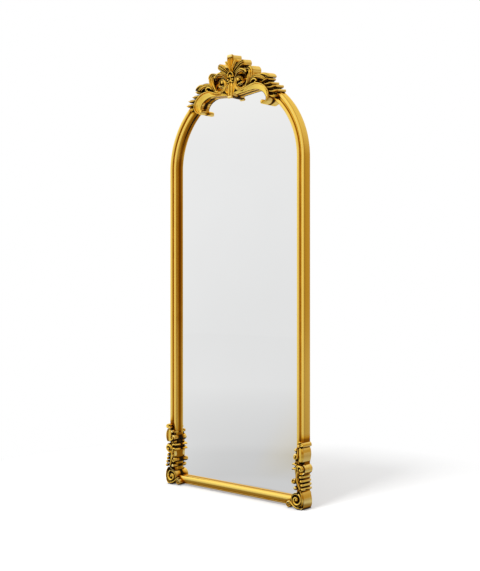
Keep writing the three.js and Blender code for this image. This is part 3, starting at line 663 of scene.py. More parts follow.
def coved_band():
    """A wide cove with a bead along its outer edge, which ends in a curled hook."""
    line = crest_points(
        (24, -66), (58, -61), (92, -54), (122, -50), (151, -56), (175, -71),
        (187.5, -92), (184, -110), (172, -120), (160, -122),
    )
    bead_width = 13.0
    t, centre, tangent = smooth_line(line, 110)
    half = np.maximum(along([4, 5, 8.5, 12, 14.5, 15, 14.5, 10.5, 6.5, 3], t), 1.0)
    half *= np.sqrt(np.clip(1 - (1 - np.clip((1 - t) / 0.03, 0, 1)) ** 2, 0.02, 1))
    s = np.linspace(-1, 1, 40)
    rings = []
    for i, width in enumerate(half):
        bead_from = 1 - min(bead_width / (2 * width), 0.8)
        cove = -3.0 - 11.0 * np.clip((s + 1) / (bead_from + 1), 0, 1) ** 1.6
        u = np.clip((s - bead_from) / (1 - bead_from), 0, 1)
        roll = -12.6 - 7.0 * np.sin(np.pi * np.clip(u * 0.9 + 0.1, 0, 1)) ** 0.7
        depth = np.where(s > bead_from, roll, cove)
        depth = depth + 2.0 * np.exp(-(((s - bead_from) * width) / 0.8) ** 2)
        depth = depth + 1.6 * np.clip((-0.92 - s) / 0.08, 0, 1) ** 2
        wall = [(width, y) for y in (-4.0, 8.0, GLASS_BACK)]
        rings.append(square_ring(centre[i], tangent[i], zip(s * width, depth), wall))
    return loft(rings)


carve("crest_band_carved", [
    coved_band(),
    ball(164, ARCH_TOP - 117, 8.5, -18, GLASS_BACK),
    crest_leaf([(36, -60), (60, -51), (88, -43)], [2, 4.5, 2], -17, drop=5, back=10),
])

ring = spiral(50, ARCH_TOP - 22, -28, -352, 37, 9)
carve("crest_scroll_carved", [
    limb(ring, [6, 8, 8.5, 8, 7, 5, 4], [-17, -20, -20, -19, -18, -16], drop=6, flutes=2, cut=4.2,
         steps=100),
    crest_leaf([(20, -14), (34, 7), (50, 15), (68, 13), (83, -2)], [4, 8, 9.5, 7.5, 2.5],
               [-15, -18, -20, -19, -15], drop=6, flutes=3, cut=3.8),
    crest_leaf([(38, 12), (54, 24), (72, 20), (85, 6)], [2, 4.5, 4.5, 1.5], [-16, -18, -18, -14], drop=5),
    crest_leaf([(30, -42), (44, -32), (58, -30), (67, -22)], [3, 5, 4.5, 1.5], -15, drop=5, flutes=1,
               cut=2),
    crest_leaf([(24, -20), (33, -13), (38, -2)], [3, 4.5, 2], -16, drop=4),
    crest_ball(43, -14, 7.5, -19.5),
    crest_ball(57, -27, 3.6, -15),
    crest_ball(28, -47, 3.4, -17),
])

carve("crest_arm_carved", [
    crest_leaf([(84, -46), (95, -31), (104, -13), (107, 5), (101, 17), (87, 19), (77, 10)],
               [5, 8, 11, 13, 11.5, 7.5, 3], [-14, -17, -19, -20, -20, -19, -15], drop=8, flutes=3,
               cut=5.0, steps=80, across=36),
    crest_leaf([(76, -50), (87, -30), (93, -12), (92, 2)], [3, 4.5, 4, 1.5], [-14, -16, -17, -13], drop=6),
    crest_leaf([(113, 0), (115, 14), (105, 26), (92, 28)], [2.5, 4.5, 4, 1.5], [-16, -19, -19, -14],
               drop=5),
    crest_ball(83, 12, 5.5, -20),
], rise=0.12)

carve("crest_spray_carved", [
    crest_leaf([(101, -24), (122, -15), (148, -15), (170, -25), (187, -40)], [4, 8, 9, 8.5, 5],
               [-15, -19, -20, -18, -13], drop=7, flutes=2, cut=4.6, across=30),
    crest_leaf([(103, -36), (112, -26), (126, -23), (135, -31), (128, -39)], [2, 4, 4.5, 4, 2],
               [-13, -16, -17, -16, -14], drop=4),
    crest_leaf([(150, -10), (168, -11), (186, -17), (197, -26)], [3, 5.5, 6, 4], [-16, -18, -16, -12],
               drop=6, flutes=1, cut=3),
    crest_ball(127, -36, 3.6, -15),
], rise=0.10)

feathers = [crest_leaf(
    [(158, -42), (176, -54), (188, -72), (193, -94), (190, -108)], [5, 7, 8, 8, 5],
    [-9, -11, -12, -11, -7], drop=6, flutes=2, cut=3,
)]
for root, middle, tip, half in (
    ((158, -42), (176, -38), (194, -32), 6.0), ((170, -51), (192, -53), (211, -52), 6.5),
    ((182, -64), (210, -68), (234, -66), 7.0), ((190, -79), (218, -85), (245, -84), 7.0),
    ((192, -95), (214, -102), (233, -103), 6.5),
):
    feathers.append(crest_leaf(
        [root, middle, tip], [half * 0.8, half, half, half * 0.65],
        [-12, -17, -20, -17], drop=[5, 7, 9, 9], flutes=1, cut=6.0, across=26, tip_drop=7,
    ))
carve("crest_fan_carved", feathers, rise=0.10)

carve("crest_pendant_carved", [
    crest_leaf([(0, -16), (0, -34), (0, -52), (0, -68), (0, -80)], [11, 19, 20, 16, 11],
               [-13, -17, -18, -18, -16], drop=7, back=GLASS_BACK, flutes=2, cut=7.5, across=44),
    crest_leaf([(13, -22), (23, -36), (25, -50), (18, -63)], [4, 6, 5.5, 2.5], [-14, -19, -19, -15],
               drop=6, back=GLASS_BACK, flutes=1, cut=2.4),
    capsule((-8, -14.5, ARCH_TOP - 78), (8, -14.5, ARCH_TOP - 78), 5.5),
    crest_leaf([(0, -34), (0, -46), (0, -60)], [1.5, 3.2, 1.5], -14, drop=3, back=0),
], centre=True)

carve("crest_bud_carved", [
    crest_leaf([(0, -18), (0, -7), (0, 4), (0, 14)], [8, 3.5, 6, 2], [-18, -14, -19.5, -15], drop=6,
               flutes=2, cut=2.2),
    crest_ball(12, -9, 4.7, -18),
    crest_ball(7.5, 2, 3.2, -18),
    crest_leaf([(13.5, -2), (14.5, 9), (9, 18), (0, 21.5)], [2, 2.8, 2.8, 2.4], -18, drop=3.5),
    crest_leaf([(3, -12), (10, -19), (17, -20)], [3, 3.8, 1.5], -17, drop=4),
], centre=True)

carve("crest_palmette_carved", [
    crest_leaf([(0, 19), (0, 38), (0, 57), (0, 72), (0, PLUME_TIP + 5)], [8, 12, 16, 18, 15.5],
               [-17, -17, -16, -16, -19], drop=[6, 6, 4, 3, 4], flutes=4, cut=7.0, steps=60, across=48,
               tip_drop=3, blunt=0.4),
    capsule((-9, -13.5, ARCH_TOP + PLUME_TIP), (9, -13.5, ARCH_TOP + PLUME_TIP), 6.5),
    crest_leaf([(8, 14), (24, 26), (38, 37), (54, 47), (70, 52)], [4, 8.5, 11.5, 12.5, 11],
               [-14, -17, -19, -20, -17], drop=8, flutes=3, cut=6.0, steps=60, across=42, tip_drop=6),
    crest_leaf([(18, 11), (34, 21), (48, 27), (60, 27)], [4, 7, 6.5, 4], [-13, -16, -18, -13], drop=7,
               flutes=2, cut=4, across=30),
    crest_leaf([(4, 30), (13, 46), (22, 58), (30, 67)], [3.5, 6, 6.5, 4], [-15, -16, -18, -14], drop=6,
               flutes=1, cut=3.4, across=26),
], centre=True, rise=0.12)

# The board behind the carving, with the carving's outline, on the arch's outer edge
half = [(14, 65), (24, 35), (60, 27), (100, 11), (112, -13), (165, -25), (198, -52)]
edge = []
for x in np.linspace(202, -202, 41):
    edge.append((x, ARCH_RISE * (math.sqrt(1 - (x / HALF) ** 2) - 1) - 0.6))
outline = half + edge + [(-x, z) for x, z in reversed(half)]
board = mesh_object("crest_board_carved", *prism(crest_points(*outline), CREST_BOARD_FRONT, FRAME_DEPTH))
smooth_shading(board, 35)
gild(board, "gilt_carving", ["crest_board"])


def corner_leaf(points, widths, front, back=None, **more):
    if back is None:
        back = FRAME_DEPTH - rng.uniform(0.1, 1.0)
    return limb(corner_points(*points), widths, front, back=back, **more)


def foot_outline(inset):
    """The foot's vase shape, `inset` inside its edge."""
    swell = HALF + 9 - inset
    radius = 28 - inset
    points = [(VOLUTE_X - 4, SOLE + inset), (HALF - 3 - inset, SOLE + inset)]
    places = np.linspace(0, 1, 9)[1:]
    points += bent(points[-1], (swell, 9.0), (swell, 26.0), places)
    points += bent(points[-1], (swell, 50.0), (HALF - 1 - inset, 70.0 - inset), places)
    points.append((VOLUTE_X + 12, 73.0 - inset))
    for a in np.linspace(math.pi / 2, math.pi * 1.08, 16):
        points.append((VOLUTE_X + radius * math.cos(a), VOLUTE_Z + radius * math.sin(a)))
    return points + bent(points[-1], (VOLUTE_X - 20, 8.0), (VOLUTE_X - 4, SOLE), np.linspace(0, 1, 6)[1:-1])


core = []
for inset, y in (
    (6.0, -9.0), (5.2, -10.0), (2.5, -13.4), (1.2, -14.0), (0.2, -13.0), (0.0, -11.0), (0.0, 12.0),
    (0.0, FRAME_DEPTH),
):
    core.append(np.array([(x, y, z) for x, z in foot_outline(inset)]))
volute = spiral(VOLUTE_X, VOLUTE_Z, 75, -330, 24, 5)
carve("foot_scroll_carved", [
    loft(core),
    limb(volute, [4.5, 5.2, 5.2, 4.6, 3.5], [-16, -19, -20, -19, -17], drop=5, back=-4, steps=90),
    limb(spiral(VOLUTE_X, VOLUTE_Z, 40, -320, 27.5, 21), [1.2, 1.8, 1.8, 1.2], -16, drop=2, back=-6,
         steps=70),
    ball(VOLUTE_X, VOLUTE_Z, 6.0, -19.5, 0),
    corner_leaf([(-62, 30), (-42, 15), (-24, 7), (-8, 5)], [4, 4.6, 3.8, 2.4], [-17, -19, -19, -15],
                drop=5),
    corner_leaf([(-10, 71), (-1, 60), (3, 40), (2.4, 24), (-4, 9)], [2.6, 3.8, 4.2, 3.8, 2.6],
                [-16, -19.5, -20, -19, -15], drop=9, back=-6),
], lowest=SOLE)

x, z = HALF - 64.0, 15.0
rosette = [lathe([
    (0.05, -13), (2.2, -13.4), (3.2, -12.4), (3.6, -10.6), (5.2, -12.6), (8.4, -16.6), (10.6, -16.2),
    (12.4, -12.5), (13.0, -8), (13.0, 20), (13.0, FRAME_DEPTH),
], x, z, KNOB_SIDES), ball(x, z, 3.4, -17, -8)]
petals = 7
for k in range(petals):
    a = 2 * math.pi * k / petals + 0.3
    root, tip = ((x + r * math.cos(a), y, z + r * math.sin(a)) for r, y in ((4.5, -12.5), (9.0, -14.2)))
    rosette.insert(-1, capsule(root, tip, 2.5, sides=12, ends=4))
carve("foot_rosette_carved", rosette, lowest=SOLE)

roll = spiral(HALF - 8, SCROLL, 205, -150, 15, 4)
carve("corner_scroll_carved", [
    lathe([(0.05, -7), (15, -8), (19.5, -9.5), (21, -7.5), (21, 2), (19.3, 5), (20.4, 9), (20.4, 24),
           (18.6, 28), (19.2, FRAME_DEPTH)], HALF - 8, SCROLL, 40),
    limb(roll, [4.6, 5, 5.5, 5, 4, 3], [-15, -19, -20, -19, -17], drop=5, back=-4, steps=80),
    ball(HALF - 8, SCROLL - 2, 5.6, -19.5, 0),
    corner_leaf([(-22, 147), (-26, 122), (-21, 98), (-10, 72)], [5, 6.5, 6.5, 7], [-15, -17, -16, -13],
                drop=6, flutes=2, cut=3.2),
    corner_leaf([(-12, 166), (-24, 160), (-31, 146), (-31, 128)], [2, 3.4, 3.2, 1.5],
                [-14, -17, -16, -13], drop=4, back=0),
])

carve("corner_collar_carved", [
    corner_leaf([(-17, 234), (-8, 239), (1, 242), (7, 244)], [6, 8, 8.6, 8.2], [-15, -18, -19.5, -18],
                drop=7, flutes=2, cut=3.6, across=30),
    ball(HALF - 15, 236, 6.5, -19.5, -2),
    corner_leaf([(-19, 246), (-13, 250), (-6, 250)], [2, 3.4, 2], -15, drop=4, back=0),
])

carve("corner_wrap_carved", [
    corner_leaf([(-10, 231), (-8.5, 219), (-8, 206), (-8.5, 193), (-10, 177)],
                [9.5, 12.4, 13.6, 12.8, 10.5], -14, drop=5, across=40, tip_drop=3, blunt=0.25),
    corner_leaf([(-4, 230), (-0.5, 217), (0.6, 204), (-0.5, 191), (-4, 178)], [2.6, 4.2, 4.8, 4.2, 2.6],
                [-17, -19.5, -20, -19.5, -17], drop=9, back=-2, tip_drop=2),
    corner_leaf([(-20, 228), (-21, 208), (-19, 186)], [2.4, 3.6, 2.2], [-13, -16, -13], drop=5,
                back=GLASS_BACK),
])

lobes = []
for i, tip in enumerate((2, 4, 6, 7)):
    root, level = 3 * i - 8, 73 + 77 * (0.65 - 0.19 * i)
    lobes.append(corner_leaf(
        [(root, level), ((root + tip) / 2, level - 1), (tip, level - 3)], [4.6, 5.8, 5.4],
        [-16, -17, -13], drop=5.5, steps=30, tip_drop=5,
    ))
    lobes.append(ball(HALF + root + 2, level - 1, 6.0, -19.5, -4))
lobes.append(prism([(HALF - 12, 126), (HALF - 4, 126), (HALF - 1, 74), (HALF - 8, 74)], -4, FRAME_DEPTH - 1))
carve("corner_lobes_carved", lobes)

curls = [
    corner_leaf([(-38, 217), (-28, 220), (-19, 219)], [5, 6, 5], [-8, -12, -15], drop=6, flutes=2, cut=3,
                back=GLASS_BACK),
    corner_leaf([(-27, 222), (-28, 190), (-28, 158), (-28, 108), (-22, 75)], [8, 9.6, 9.6, 9, 6],
                [-7, -8, -10, -8, -9], drop=3, back=GLASS_BACK, flutes=3, cut=3.4, across=36, blunt=0.3),
    *(corner_leaf(line, [6, 4.8, 1.6], [-14, -16, -13], drop=5, back=GLASS_BACK)
      for line in ([(-26, 162), (-38, 168), (-50, 165)], [(-27, 148), (-40, 151), (-51, 146)])),
    limb(spiral(HALF - 31, 195, 80, -250, 12.0, 3), [2.2, 2.8, 2.6, 1.6], [-16, -20, -20, -17], drop=3,
         back=-4, steps=50),
    limb(spiral(HALF - 39, 103, 100, 420, 9.0, 3), [2.0, 2.6, 2.4, 1.6], [-15, -19, -19, -16], drop=3,
         back=-4, steps=50),
]
for cx, cz, radius in ((-29, 221, 7), (-31, 195, 13), (-39, 103, 10), (-33, 79, 8)):
    dish = 2.4 if radius > 8.5 else 0.0
    curls.append(lathe([
        (0.05, -17 + dish * 2), (radius * 0.3, -18 + dish * 2), (radius * 0.55, -17.4 + dish * 1.5),
        (radius * 0.85, -15.0 + dish), (radius, -10.5), (radius, 4), (radius * 0.96, GLASS_BACK),
    ], HALF + cx, cz, KNOB_SIDES))
curls += [ball(HALF - 32, 195, 3.6, -18.5, -8), ball(HALF - 39, 103, 3.4, -18.5, -8)]
carve("corner_curls_carved", curls)

# ---------------------------------------------------------------- fittings of the back

HANGER_X, HANGER_Z = HALF - 14.0, 1250.0
STRAP_BACK = FRAME_DEPTH + GAP
WIRE = 1.6
BARREL_RADIUS = WIRE + GAP + 1.2
BARREL_Y = STRAP_BACK + BARREL_RADIUS
BOARD_SCREW_X = HALF - STILE_FACE + 13.0
BOARD_SCREWS = (189.0, 678.5, 1168.0)
HANGER_SCREWS = (31.0, 43.0)
SCREW_HOLE = 1.9
STRAP_THICKNESS = 1.2
STRAP_HALF, STRAP_LENGTH = 5.0, 46.0
PAD_X, PAD_HALF = 345.0, 13.0
HEEL_TOP = 64.0


def box(x0, x1, y0, y1, z0, z1):
    return prism([(x0, z0), (x1, z0), (x1, z1), (x0, z1)], y0, y1)


def cut(ob, shape):
    """Takes a body away from an object."""
    tool = mesh_object("cutter", *shape)
    boolean = ob.modifiers.new("cut", "BOOLEAN")
    boolean.operation = "DIFFERENCE"
    boolean.solver = "EXACT"
    boolean.object = tool
    apply_modifiers(ob)
    mesh = tool.data
    bpy.data.objects.remove(tool)
    bpy.data.meshes.remove(mesh)


def pair(ob, slot, node, bodies=(BODY, BODY)):
    twin = mirrored_object(ob, ob.name.replace("_right", "_left"))
    dress(ob, slot, [f"{node}_right"], bodies[0])
    dress(twin, slot, [f"{node}_left"], bodies[1])


def screw(name, node, x, z, seat, length):
    """A pan-head screw with a cross recess, whose head lies on the depth `seat`."""
    dome = [(3.4 * math.cos(a), seat + 0.6 + 1.3 * math.sin(a)) for a in np.linspace(0, math.pi / 2, 9)]
    shank = [(0.0, seat - length), (WIRE, seat - length + 3.2), (WIRE, seat)]
    ob = mesh_object(f"{name}_right", *lathe(shank + [(3.2, seat), (3.4, seat + 0.2)] + dome, x, z))
    for w, h in ((0.42, 1.75), (1.75, 0.42)):
        cut(ob, box(x - w, x + w, seat + 0.8, seat + 3, z - h, z + h))
    smooth_shading(ob, 35)
    pair(ob, "zinc_steel", node)


def arched(inset, foot):
    """Outline of the opening, `inset` from the frame's outer edge, down to the level `foot`."""
    points = [(HALF - inset, foot)]
    for angle in np.linspace(0, math.pi, 72):
        ring = arch_ring(angle, [(inset, 0.0)])[0]
        points.append((ring[0], ring[2]))
    points.append((inset - HALF, foot))
    return points


board = mesh_object("backing_panel", *prism(
    arched(BACK_WALL + GAP, RAIL_TOP - BOARD_REBATE + GAP), BOARD_FRONT, BOARD_BACK,
))
for x in (-BOARD_SCREW_X, BOARD_SCREW_X):
    for z in BOARD_SCREWS:
        cut(board, lathe([(SCREW_HOLE, BOARD_FRONT - 1), (SCREW_HOLE, BOARD_BACK + 1)], x, z, 20))
bevelled(board, 0.35, 1)
smooth_shading(board, 35)
dress(board, "hardboard", ["backing_board"])

for i, z in enumerate(BOARD_SCREWS):
    screw(f"board_screw_head_{i + 1}", f"board_screw_{i + 1}", BOARD_SCREW_X, z, BOARD_BACK + GAP, 18.0)
for i, drop in enumerate(HANGER_SCREWS):
    screw(f"hanger_screw_head_{i + 1}", f"hanger_screw_{i + 1}", HANGER_X, HANGER_Z - drop,
          STRAP_BACK + STRAP_THICKNESS + GAP, 14.0)

# Strap of the hanger, bent to a barrel round the ring's bar
strap = [(HANGER_X - STRAP_HALF, HANGER_Z)]
for a in np.linspace(math.pi, 2 * math.pi, 17):
    strap.append((HANGER_X + STRAP_HALF * math.cos(a), HANGER_Z - STRAP_LENGTH + STRAP_HALF * math.sin(a)))
strap.append((HANGER_X + STRAP_HALF, HANGER_Z))
plate = mesh_object("hanger_strap_right", *prism(strap, STRAP_BACK, STRAP_BACK + STRAP_THICKNESS))
for drop in HANGER_SCREWS:
    hole = [(SCREW_HOLE, STRAP_BACK - 1), (SCREW_HOLE, STRAP_BACK + 3)]
    cut(plate, lathe(hole, HANGER_X, HANGER_Z - drop, 20))
bevelled(plate, 0.2, 1)
tube = []
turn = np.linspace(0, 2 * math.pi, 32, endpoint=False)
for r, x in (
    (WIRE + GAP, -4.9), (BARREL_RADIUS - 0.2, -5.0), (BARREL_RADIUS, -4.8), (BARREL_RADIUS, 4.8),
    (BARREL_RADIUS - 0.2, 5.0), (WIRE + GAP, 4.9),
):
    y, z = BARREL_Y + r * np.cos(turn), HANGER_Z + r * np.sin(turn)
    tube.append(np.stack([np.full(32, HANGER_X + x), y, z], 1))
barrel = mesh_object("barrel", *loft(tube, closed=True))
with bpy.context.temp_override(active_object=plate, selected_editable_objects=[plate, barrel]):
    bpy.ops.object.join()
smooth_shading(plate, 35)
pair(plate, "zinc_steel", "hanger_plate")

# The ring, a D of round wire
reach, bend = 9.0 - WIRE, 3.0
drop = 23.0 - reach
quarter = np.linspace(0, math.pi / 2, 8)
path = [(x, 0.0) for x in np.linspace(bend - reach, reach - bend, 8)]
path += [(reach - bend + bend * math.sin(a), -bend + bend * math.cos(a)) for a in quarter[1:]]
path += [(reach, z) for z in np.linspace(-bend, -drop, 6)[1:]]
path += [(reach * math.cos(a), -drop - reach * math.sin(a)) for a in np.linspace(0, math.pi, 26)[1:]]
path += [(-reach, z) for z in np.linspace(-drop, -bend, 6)[1:]]
path += [(bend - reach - bend * math.cos(a), -bend + bend * math.sin(a)) for a in quarter[1:-1]]
path = np.array(path)
tangents = np.roll(path, -1, 0) - np.roll(path, 1, 0)
tangents /= np.linalg.norm(tangents, axis=1)[:, None]
turn = np.linspace(0, 2 * math.pi, 16, endpoint=False)
rings = []
for p, t in zip(path, tangents):
    rings.append(np.stack([
        HANGER_X + p[0] - t[1] * WIRE * np.cos(turn), BARREL_Y + WIRE * np.sin(turn),
        HANGER_Z + p[1] + t[0] * WIRE * np.cos(turn),
    ], 1))
ring = mesh_object("d_ring_right", *loft(rings, closed=True))
smooth_shading(ring)
pair(ring, "zinc_steel", "hanger_ring", ("ring_right", "ring_left"))

bumper_x, _, bumper_z = arch_ring(math.radians(52), [(BACK_WALL / 2, 0.0)])[0]
bumper = mesh_object("rubber_bumper_right", *lathe([
    (0.0, STRAP_BACK), (8.1, STRAP_BACK), (8.5, STRAP_BACK + 0.4), (8.4, STRAP_BACK + 1.6),
    (7.4, BUMPER_BACK - 0.7), (7.1, BUMPER_BACK - 0.2), (6.6, BUMPER_BACK), (0.0, BUMPER_BACK),
], bumper_x, bumper_z))
smooth_shading(bumper, 40)
pair(bumper, "rubber", "wall_bumper")

pad = mesh_object("felt_pad_right", *box(
    PAD_X - PAD_HALF, PAD_X + PAD_HALF, -14.0, BUMPER_BACK, 0.0, PAD_THICKNESS,
))
bevelled(pad, 0.7, 2)
smooth_shading(pad, 40)
pair(pad, "felt", "foot_pad")

corner_radius = PAD_HALF * 0.6
block = [(-PAD_HALF, SOLE), (PAD_HALF, SOLE)]
for side in (1, -1):
    curve = bent(
        (side * PAD_HALF, HEEL_TOP - corner_radius), (side * PAD_HALF, HEEL_TOP),
        (side * (PAD_HALF - corner_radius), HEEL_TOP), np.linspace(0, 1, 9),
    )
    block += curve if side > 0 else reversed(curve)
heel = mesh_object("beech_heel_right", *prism([(PAD_X + x, z) for x, z in block], STRAP_BACK, BUMPER_BACK))
bevelled(heel, 0.8, 2)
smooth_shading(heel, 40)
pair(heel, "beech", "foot_heel")

# ---------------------------------------------------------------- recesses and ridges


def mesh_arrays(ob):
    mesh = ob.data
    points = np.empty(len(mesh.vertices) * 3)
    normals = np.empty(len(mesh.vertices) * 3)
    mesh.vertices.foreach_get("co", points)
    mesh.vertices.foreach_get("normal", normals)
    edges = np.empty(len(mesh.edges) * 2, int)
    mesh.edges.foreach_get("vertices", edges)
    return points.reshape(-1, 3), normals.reshape(-1, 3), edges.reshape(-1, 2)


def neighbour_mean(values, edges):
    total = np.zeros_like(values)
    count = np.zeros(len(values))
    for a, b in ((0, 1), (1, 0)):
        np.add.at(total, edges[:, a], values[edges[:, b]])
        np.add.at(count, edges[:, a], 1)
    count = np.maximum(count, 1)
    return total / (count[:, None] if values.ndim == 2 else count)


def write_attributes(ob, openness, ridge):
    """Writes both attributes to an object and to its twin on the left, if it has one."""
    for name in sorted({ob.name, ob.name.replace("_right", "_left")}):
        attributes = bpy.data.objects[name].data.attributes
        for kind, values in (("open", openness), ("ridge", ridge)):
            attributes.new(kind, "FLOAT", "POINT").data.foreach_set("value", np.asarray(values, np.float32))


REACH = 0.030
RAYS = 14
GLASS_SHARE = 0.93
LOW_SHADE_TOP = 0.30


def blockers(obs, glass):
    """A tree of all triangles that rays can meet, and the number of the first of the glass."""
    points, faces, start = [], [], 0
    for ob in [*obs, glass]:
        first_of_glass = sum(len(f) for f in faces)
        ob.data.calc_loop_triangles()
        corners = np.empty(len(ob.data.loop_triangles) * 3, int)
        ob.data.loop_triangles.foreach_get("vertices", corners)
        points.append(mesh_arrays(ob)[0])
        faces.append(corners.reshape(-1, 3) + start)
        start += len(points[-1])
    tree = BVHTree.FromPolygons(np.concatenate(points).tolist(), np.concatenate(faces).tolist())
    return tree, first_of_glass


def mean_openness(co, normals, tree, first_of_glass):
    """How open each vertex lies, by rays over its hemisphere: 0 where all are stopped at once.

    The glass stops a ray less than the gilding does, by `GLASS_SHARE`."""
    k = np.arange(RAYS)
    up = np.sqrt(1 - (k + 0.5) / RAYS * 0.94)
    side = np.sqrt(1 - up**2)
    around = math.pi * (3 - math.sqrt(5)) * k
    turn = rng.uniform(0, 2 * math.pi, len(co))
    helper = np.where(np.abs(normals[:, :1]) > 0.9, [[0.0, 1.0, 0.0]], [[1.0, 0.0, 0.0]])
    u = np.cross(normals, helper)
    u /= np.linalg.norm(u, axis=1)[:, None] + 1e-12
    v = np.cross(normals, u)
    begin = (co + normals * 0.0006).tolist()
    openness = np.zeros(len(co))
    for j in range(RAYS):
        a = turn + around[j]
        rays = normals * up[j] + (u * np.cos(a)[:, None] + v * np.sin(a)[:, None]) * side[j]
        for i, (origin, ray) in enumerate(zip(begin, rays.tolist())):
            _, _, face, distance = tree.ray_cast(origin, ray, REACH)
            openness[i] += 1.0
            if face is not None:
                openness[i] -= (GLASS_SHARE if face >= first_of_glass else 1.0) * (1.0 - distance / REACH)
    return openness / RAYS


def with_painted_shade(name, openness, co, normals):
    """Openness with painted shade that rays don't give, and flat backs plain.

    Low carvings get darker, the crest board's front is a painted dark shadow behind the carving,
    and the band's undersides are spared the painted underside shade.
    """
    # Painted shade: carvings near the floor get darker, and their inner walls more so
    low = np.clip((LOW_SHADE_TOP - co[:, 2]) / 0.08, 0, 1) * ("carved" in name)
    openness = openness - low * (0.20 + 0.08 * np.clip((-0.2 - normals[:, 0]) / 0.5, 0, 1))
    # Painted shadow: the crest board's front, seen between the carvings, is made dark; its back stays open
    if name == "crest_board_carved":
        openness = np.where(co[:, 1] > 0, 1.0, 0.2)
    # The band's undersides are spared most of the painted underside shade
    if name == "crest_band_carved_right":
        openness += 0.45 * np.clip((-0.3 - normals[:, 2]) / 0.4, 0, 1)
    return np.where(normals[:, 1] > 0.9, 1.0, openness)


def read_surfaces(obs, glass):
    """Writes how open the gilding lies, and where its ridges are, for its material: it paints
    shade by the first and a highlight by the second.
    """
    tree, first_of_glass = blockers(obs, glass)
    for ob in obs:
        if ob.name.endswith("_left"):
            continue
        co, normals, edges = mesh_arrays(ob)
        openness = with_painted_shade(ob.name, mean_openness(co, normals, tree, first_of_glass), co, normals)
        for _ in range(2):
            openness = 0.5 * openness + 0.5 * neighbour_mean(openness, edges)
        flattened = co
        for _ in range(3):
            flattened = neighbour_mean(flattened, edges)
        step = np.linalg.norm(co[edges[:, 0]] - co[edges[:, 1]], axis=1).mean()
        bulge = np.einsum("ij,ij->i", co - flattened, normals) / step
        write_attributes(ob, openness, np.clip(0.5 + neighbour_mean(bulge, edges), 0, 1))


read_surfaces(gilded, frame["nodes"]["mirror_glass"])

# ---------------------------------------------------------------- floor, world, lamps, camera

floor = mesh_object("floor", [(-9e3, -9e3, 0), (9e3, -9e3, 0), (9e3, 9e3, 0), (-9e3, 9e3, 0)], [(0, 1, 2, 3)])

# The studio round the mirror, as metal and glass reflect it: its light at eye height and above,
# by the angle to the right of straight ahead of the mirror. It is white ahead and to the left,
# where the soft boxes stand, and dim and warm to the right.
HORIZON = [
    (-180, (0.66, 0.52, 0.32)), (-155, (0.95, 0.88, 0.74)), (-128, (0.98, 1.02, 1.15)),
    (-100, (0.89, 0.85, 0.71)), (-70, (1.05, 1.06, 1.06)), (-48, (0.875, 0.875, 0.875)),
    (-36, (0.825, 0.825, 0.825)), (-30, (0.83, 0.79, 0.70)), (-20, (0.74, 0.65, 0.44)),
    (10, (0.82, 0.76, 0.62)), (26, (0.64, 0.50, 0.28)), (42, (0.34, 0.20, 0.05)),
    (70, (0.28, 0.15, 0.03)), (110, (0.36, 0.21, 0.045)), (140, (0.47, 0.31, 0.09)),
    (180, (0.66, 0.52, 0.32)),
]
OVERHEAD = [
    (-180, (0.80, 0.71, 0.52)), (-130, (1.04, 1.00, 0.92)), (-90, (1.10, 1.02, 0.88)),
    (-50, (1.24, 1.22, 1.22)), (-20, (1.20, 1.08, 0.82)), (20, (0.76, 0.58, 0.30)),
    (70, (0.46, 0.30, 0.10)), (120, (0.74, 0.62, 0.42)), (180, (0.80, 0.71, 0.52)),
]
ZENITH = (0.54, 0.50, 0.42)
MOST = 1.5


def studio(n, direction):
    """Light of the studio from a direction. A ramp holds its levels as parts of `MOST`."""
    x, y, z = n.add("ShaderNodeSeparateXYZ", inputs={0: direction}).outputs
    angle = n.math("ARCTAN2", x, n.math("MULTIPLY", y, -1.0))
    place = n.math("ADD", n.math("DIVIDE", angle, 2 * math.pi), 0.5)

    def ring(levels):
        return n.ramp(place, [((a + 180) / 360, tuple(v / MOST for v in colour)) for a, colour in levels])

    zenith = tuple(v / MOST for v in ZENITH)
    high = n.mix(n.spread(z, 0.72, 0.97), ring(OVERHEAD), zenith)
    both = n.mix(n.spread(z, 0.15, 0.6), ring(HORIZON), high)
    level = n.math("MULTIPLY", n.spread(z, -0.15, 0.15, 0.93, 1.02), MOST)
    return n.vector("SCALE", both, level)


def ray_kinds(n):
    """Whether a ray comes from the camera, and whether from metal or glass."""
    path = n.add("ShaderNodeLightPath").outputs
    return path["Is Camera Ray"], n.math("MAXIMUM", path["Is Glossy Ray"], path["Is Transmission Ray"])


def either(n, factor, one, other):
    return n.add("ShaderNodeMixShader", inputs={0: factor, 1: one.outputs[0], 2: other.outputs[0]})


# The floor has a look for each kind of ray. The camera sees pale paper with the mirror's shadow
# and a painted contact shade from an occlusion node, and it turns to plain white farther out.
# Metal and glass see it glow with the studio's light, with painted shade under the mirror, where
# the gilding shades it.
mat, n = material("floor")
camera_ray, mirror_ray = ray_kinds(n)
position = n.add("ShaderNodeNewGeometry").outputs["Position"]
far = n.vector("LENGTH", position, output="Value")
# Painted shade in reflections: the floor glows darker near the mirror, darkest and warm right under it
wide = n.ramp(n.spread(far, 0.0, 4.0), [(0.10, (0.64,) * 3), (0.3, (0.80,) * 3), (1.0, (0.925,) * 3)])
beside = n.vector("LENGTH", n.vector("MULTIPLY", position, (0.3, 1.0, 0.0)), output="Value")
near_shade = n.mix(n.spread(beside, 0.12, 0.17), (0.28, 0.20, 0.09), wide)
around = studio(n, n.vector("NORMALIZE", position))
reflected = n.add("ShaderNodeEmission", inputs={
    "Color": n.mix(n.spread(far, 0.3, 0.9, 0.0, 0.75), near_shade, around, "MULTIPLY"),
})
# Painted contact shade: an occlusion node darkens the paper where the mirror stands on it
contact_shade = n.add("ShaderNodeAmbientOcclusion", samples=8, inputs={"Distance": 0.12}).outputs["AO"]
shadowed = n.add("ShaderNodeBsdfDiffuse", inputs={
    "Color": n.ramp(contact_shade, [(0.3, (0.42,) * 3), (1.0, (0.72,) * 3)]),
})
lifted = n.add("ShaderNodeEmission", inputs={"Color": (1, 1, 1, 1), "Strength": 0.36})
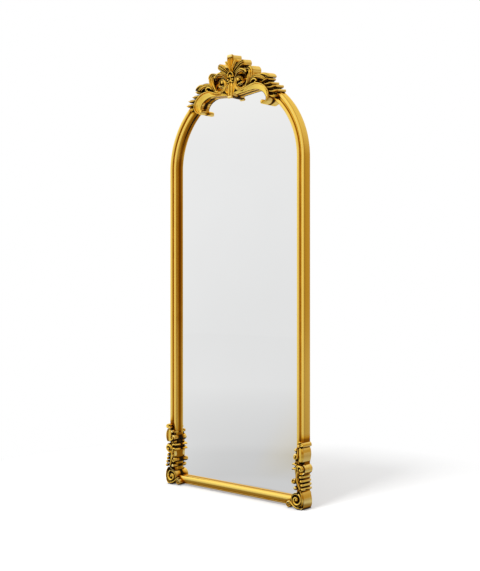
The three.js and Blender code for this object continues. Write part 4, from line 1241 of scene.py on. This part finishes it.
near_floor = n.add("ShaderNodeAddShader", inputs={0: shadowed.outputs[0], 1: lifted.outputs[0]})
paper = n.add("ShaderNodeEmission", inputs={"Color": (1, 1, 1, 1)})
seen = either(n, n.spread(far, 0.85, 1.35), near_floor, paper)
plain = n.add("ShaderNodeBsdfDiffuse", inputs={"Color": (0.8, 0.8, 0.8, 1)})
finish_material(n, either(n, mirror_ray, either(n, camera_ray, plain, seen), reflected))
floor.data.materials.append(mat)

scene = bpy.context.scene
world = bpy.data.worlds.new("studio")
scene.world = world
world.use_nodes = True
n = Nodes(world.node_tree)
camera_ray, mirror_ray = ray_kinds(n)
direction = n.add("ShaderNodeTexCoord").outputs["Generated"]
light = n.mix(camera_ray, n.mix(mirror_ray, (0.42,) * 3, studio(n, direction)), (1.0, 1.0, 1.0))
background = n.add("ShaderNodeBackground", inputs={"Color": light})
out = n.add("ShaderNodeOutputWorld")
n.tree.links.new(background.outputs[0], out.inputs[0])


def lamp(name, at, aim, size, watts):
    """A soft box, which metal and glass don't show."""
    light = bpy.data.lights.new(name, "AREA")
    light.shape = "RECTANGLE"
    light.size, light.size_y = size
    light.energy = watts
    ob = bpy.data.objects.new(name, light)
    scene.collection.objects.link(ob)
    ob.visible_glossy = False
    ob.location = at
    ob.rotation_euler = (Vector(aim) - Vector(at)).to_track_quat("-Z", "Y").to_euler()


lamp("key", (0.15, -2.3, 3.3), (0, 0, 0.7), (1.3, 1.0), 130)
lamp("fill", (-1.6, -2.9, 1.5), (0, 0, 1.0), (0.8, 2.0), 30)
lamp("back", (1.2, 2.6, 2.6), (0, 0, 1.0), (1.8, 1.4), 36)

# The photo's camera: its focal length in pixels of a picture 571 pixels high
SENSOR = 36
camera_data = bpy.data.cameras.new("camera")
camera_data.lens = 940.3 / 571 * SENSOR
camera_data.sensor_width = SENSOR
camera = bpy.data.objects.new("camera", camera_data)
scene.collection.objects.link(camera)
camera.location = (2.5179, -2.76555, 0.8337)
camera.rotation_euler = (math.pi / 2, 0, math.radians(42))
scene.camera = camera
scene.view_settings.view_transform = "Standard"
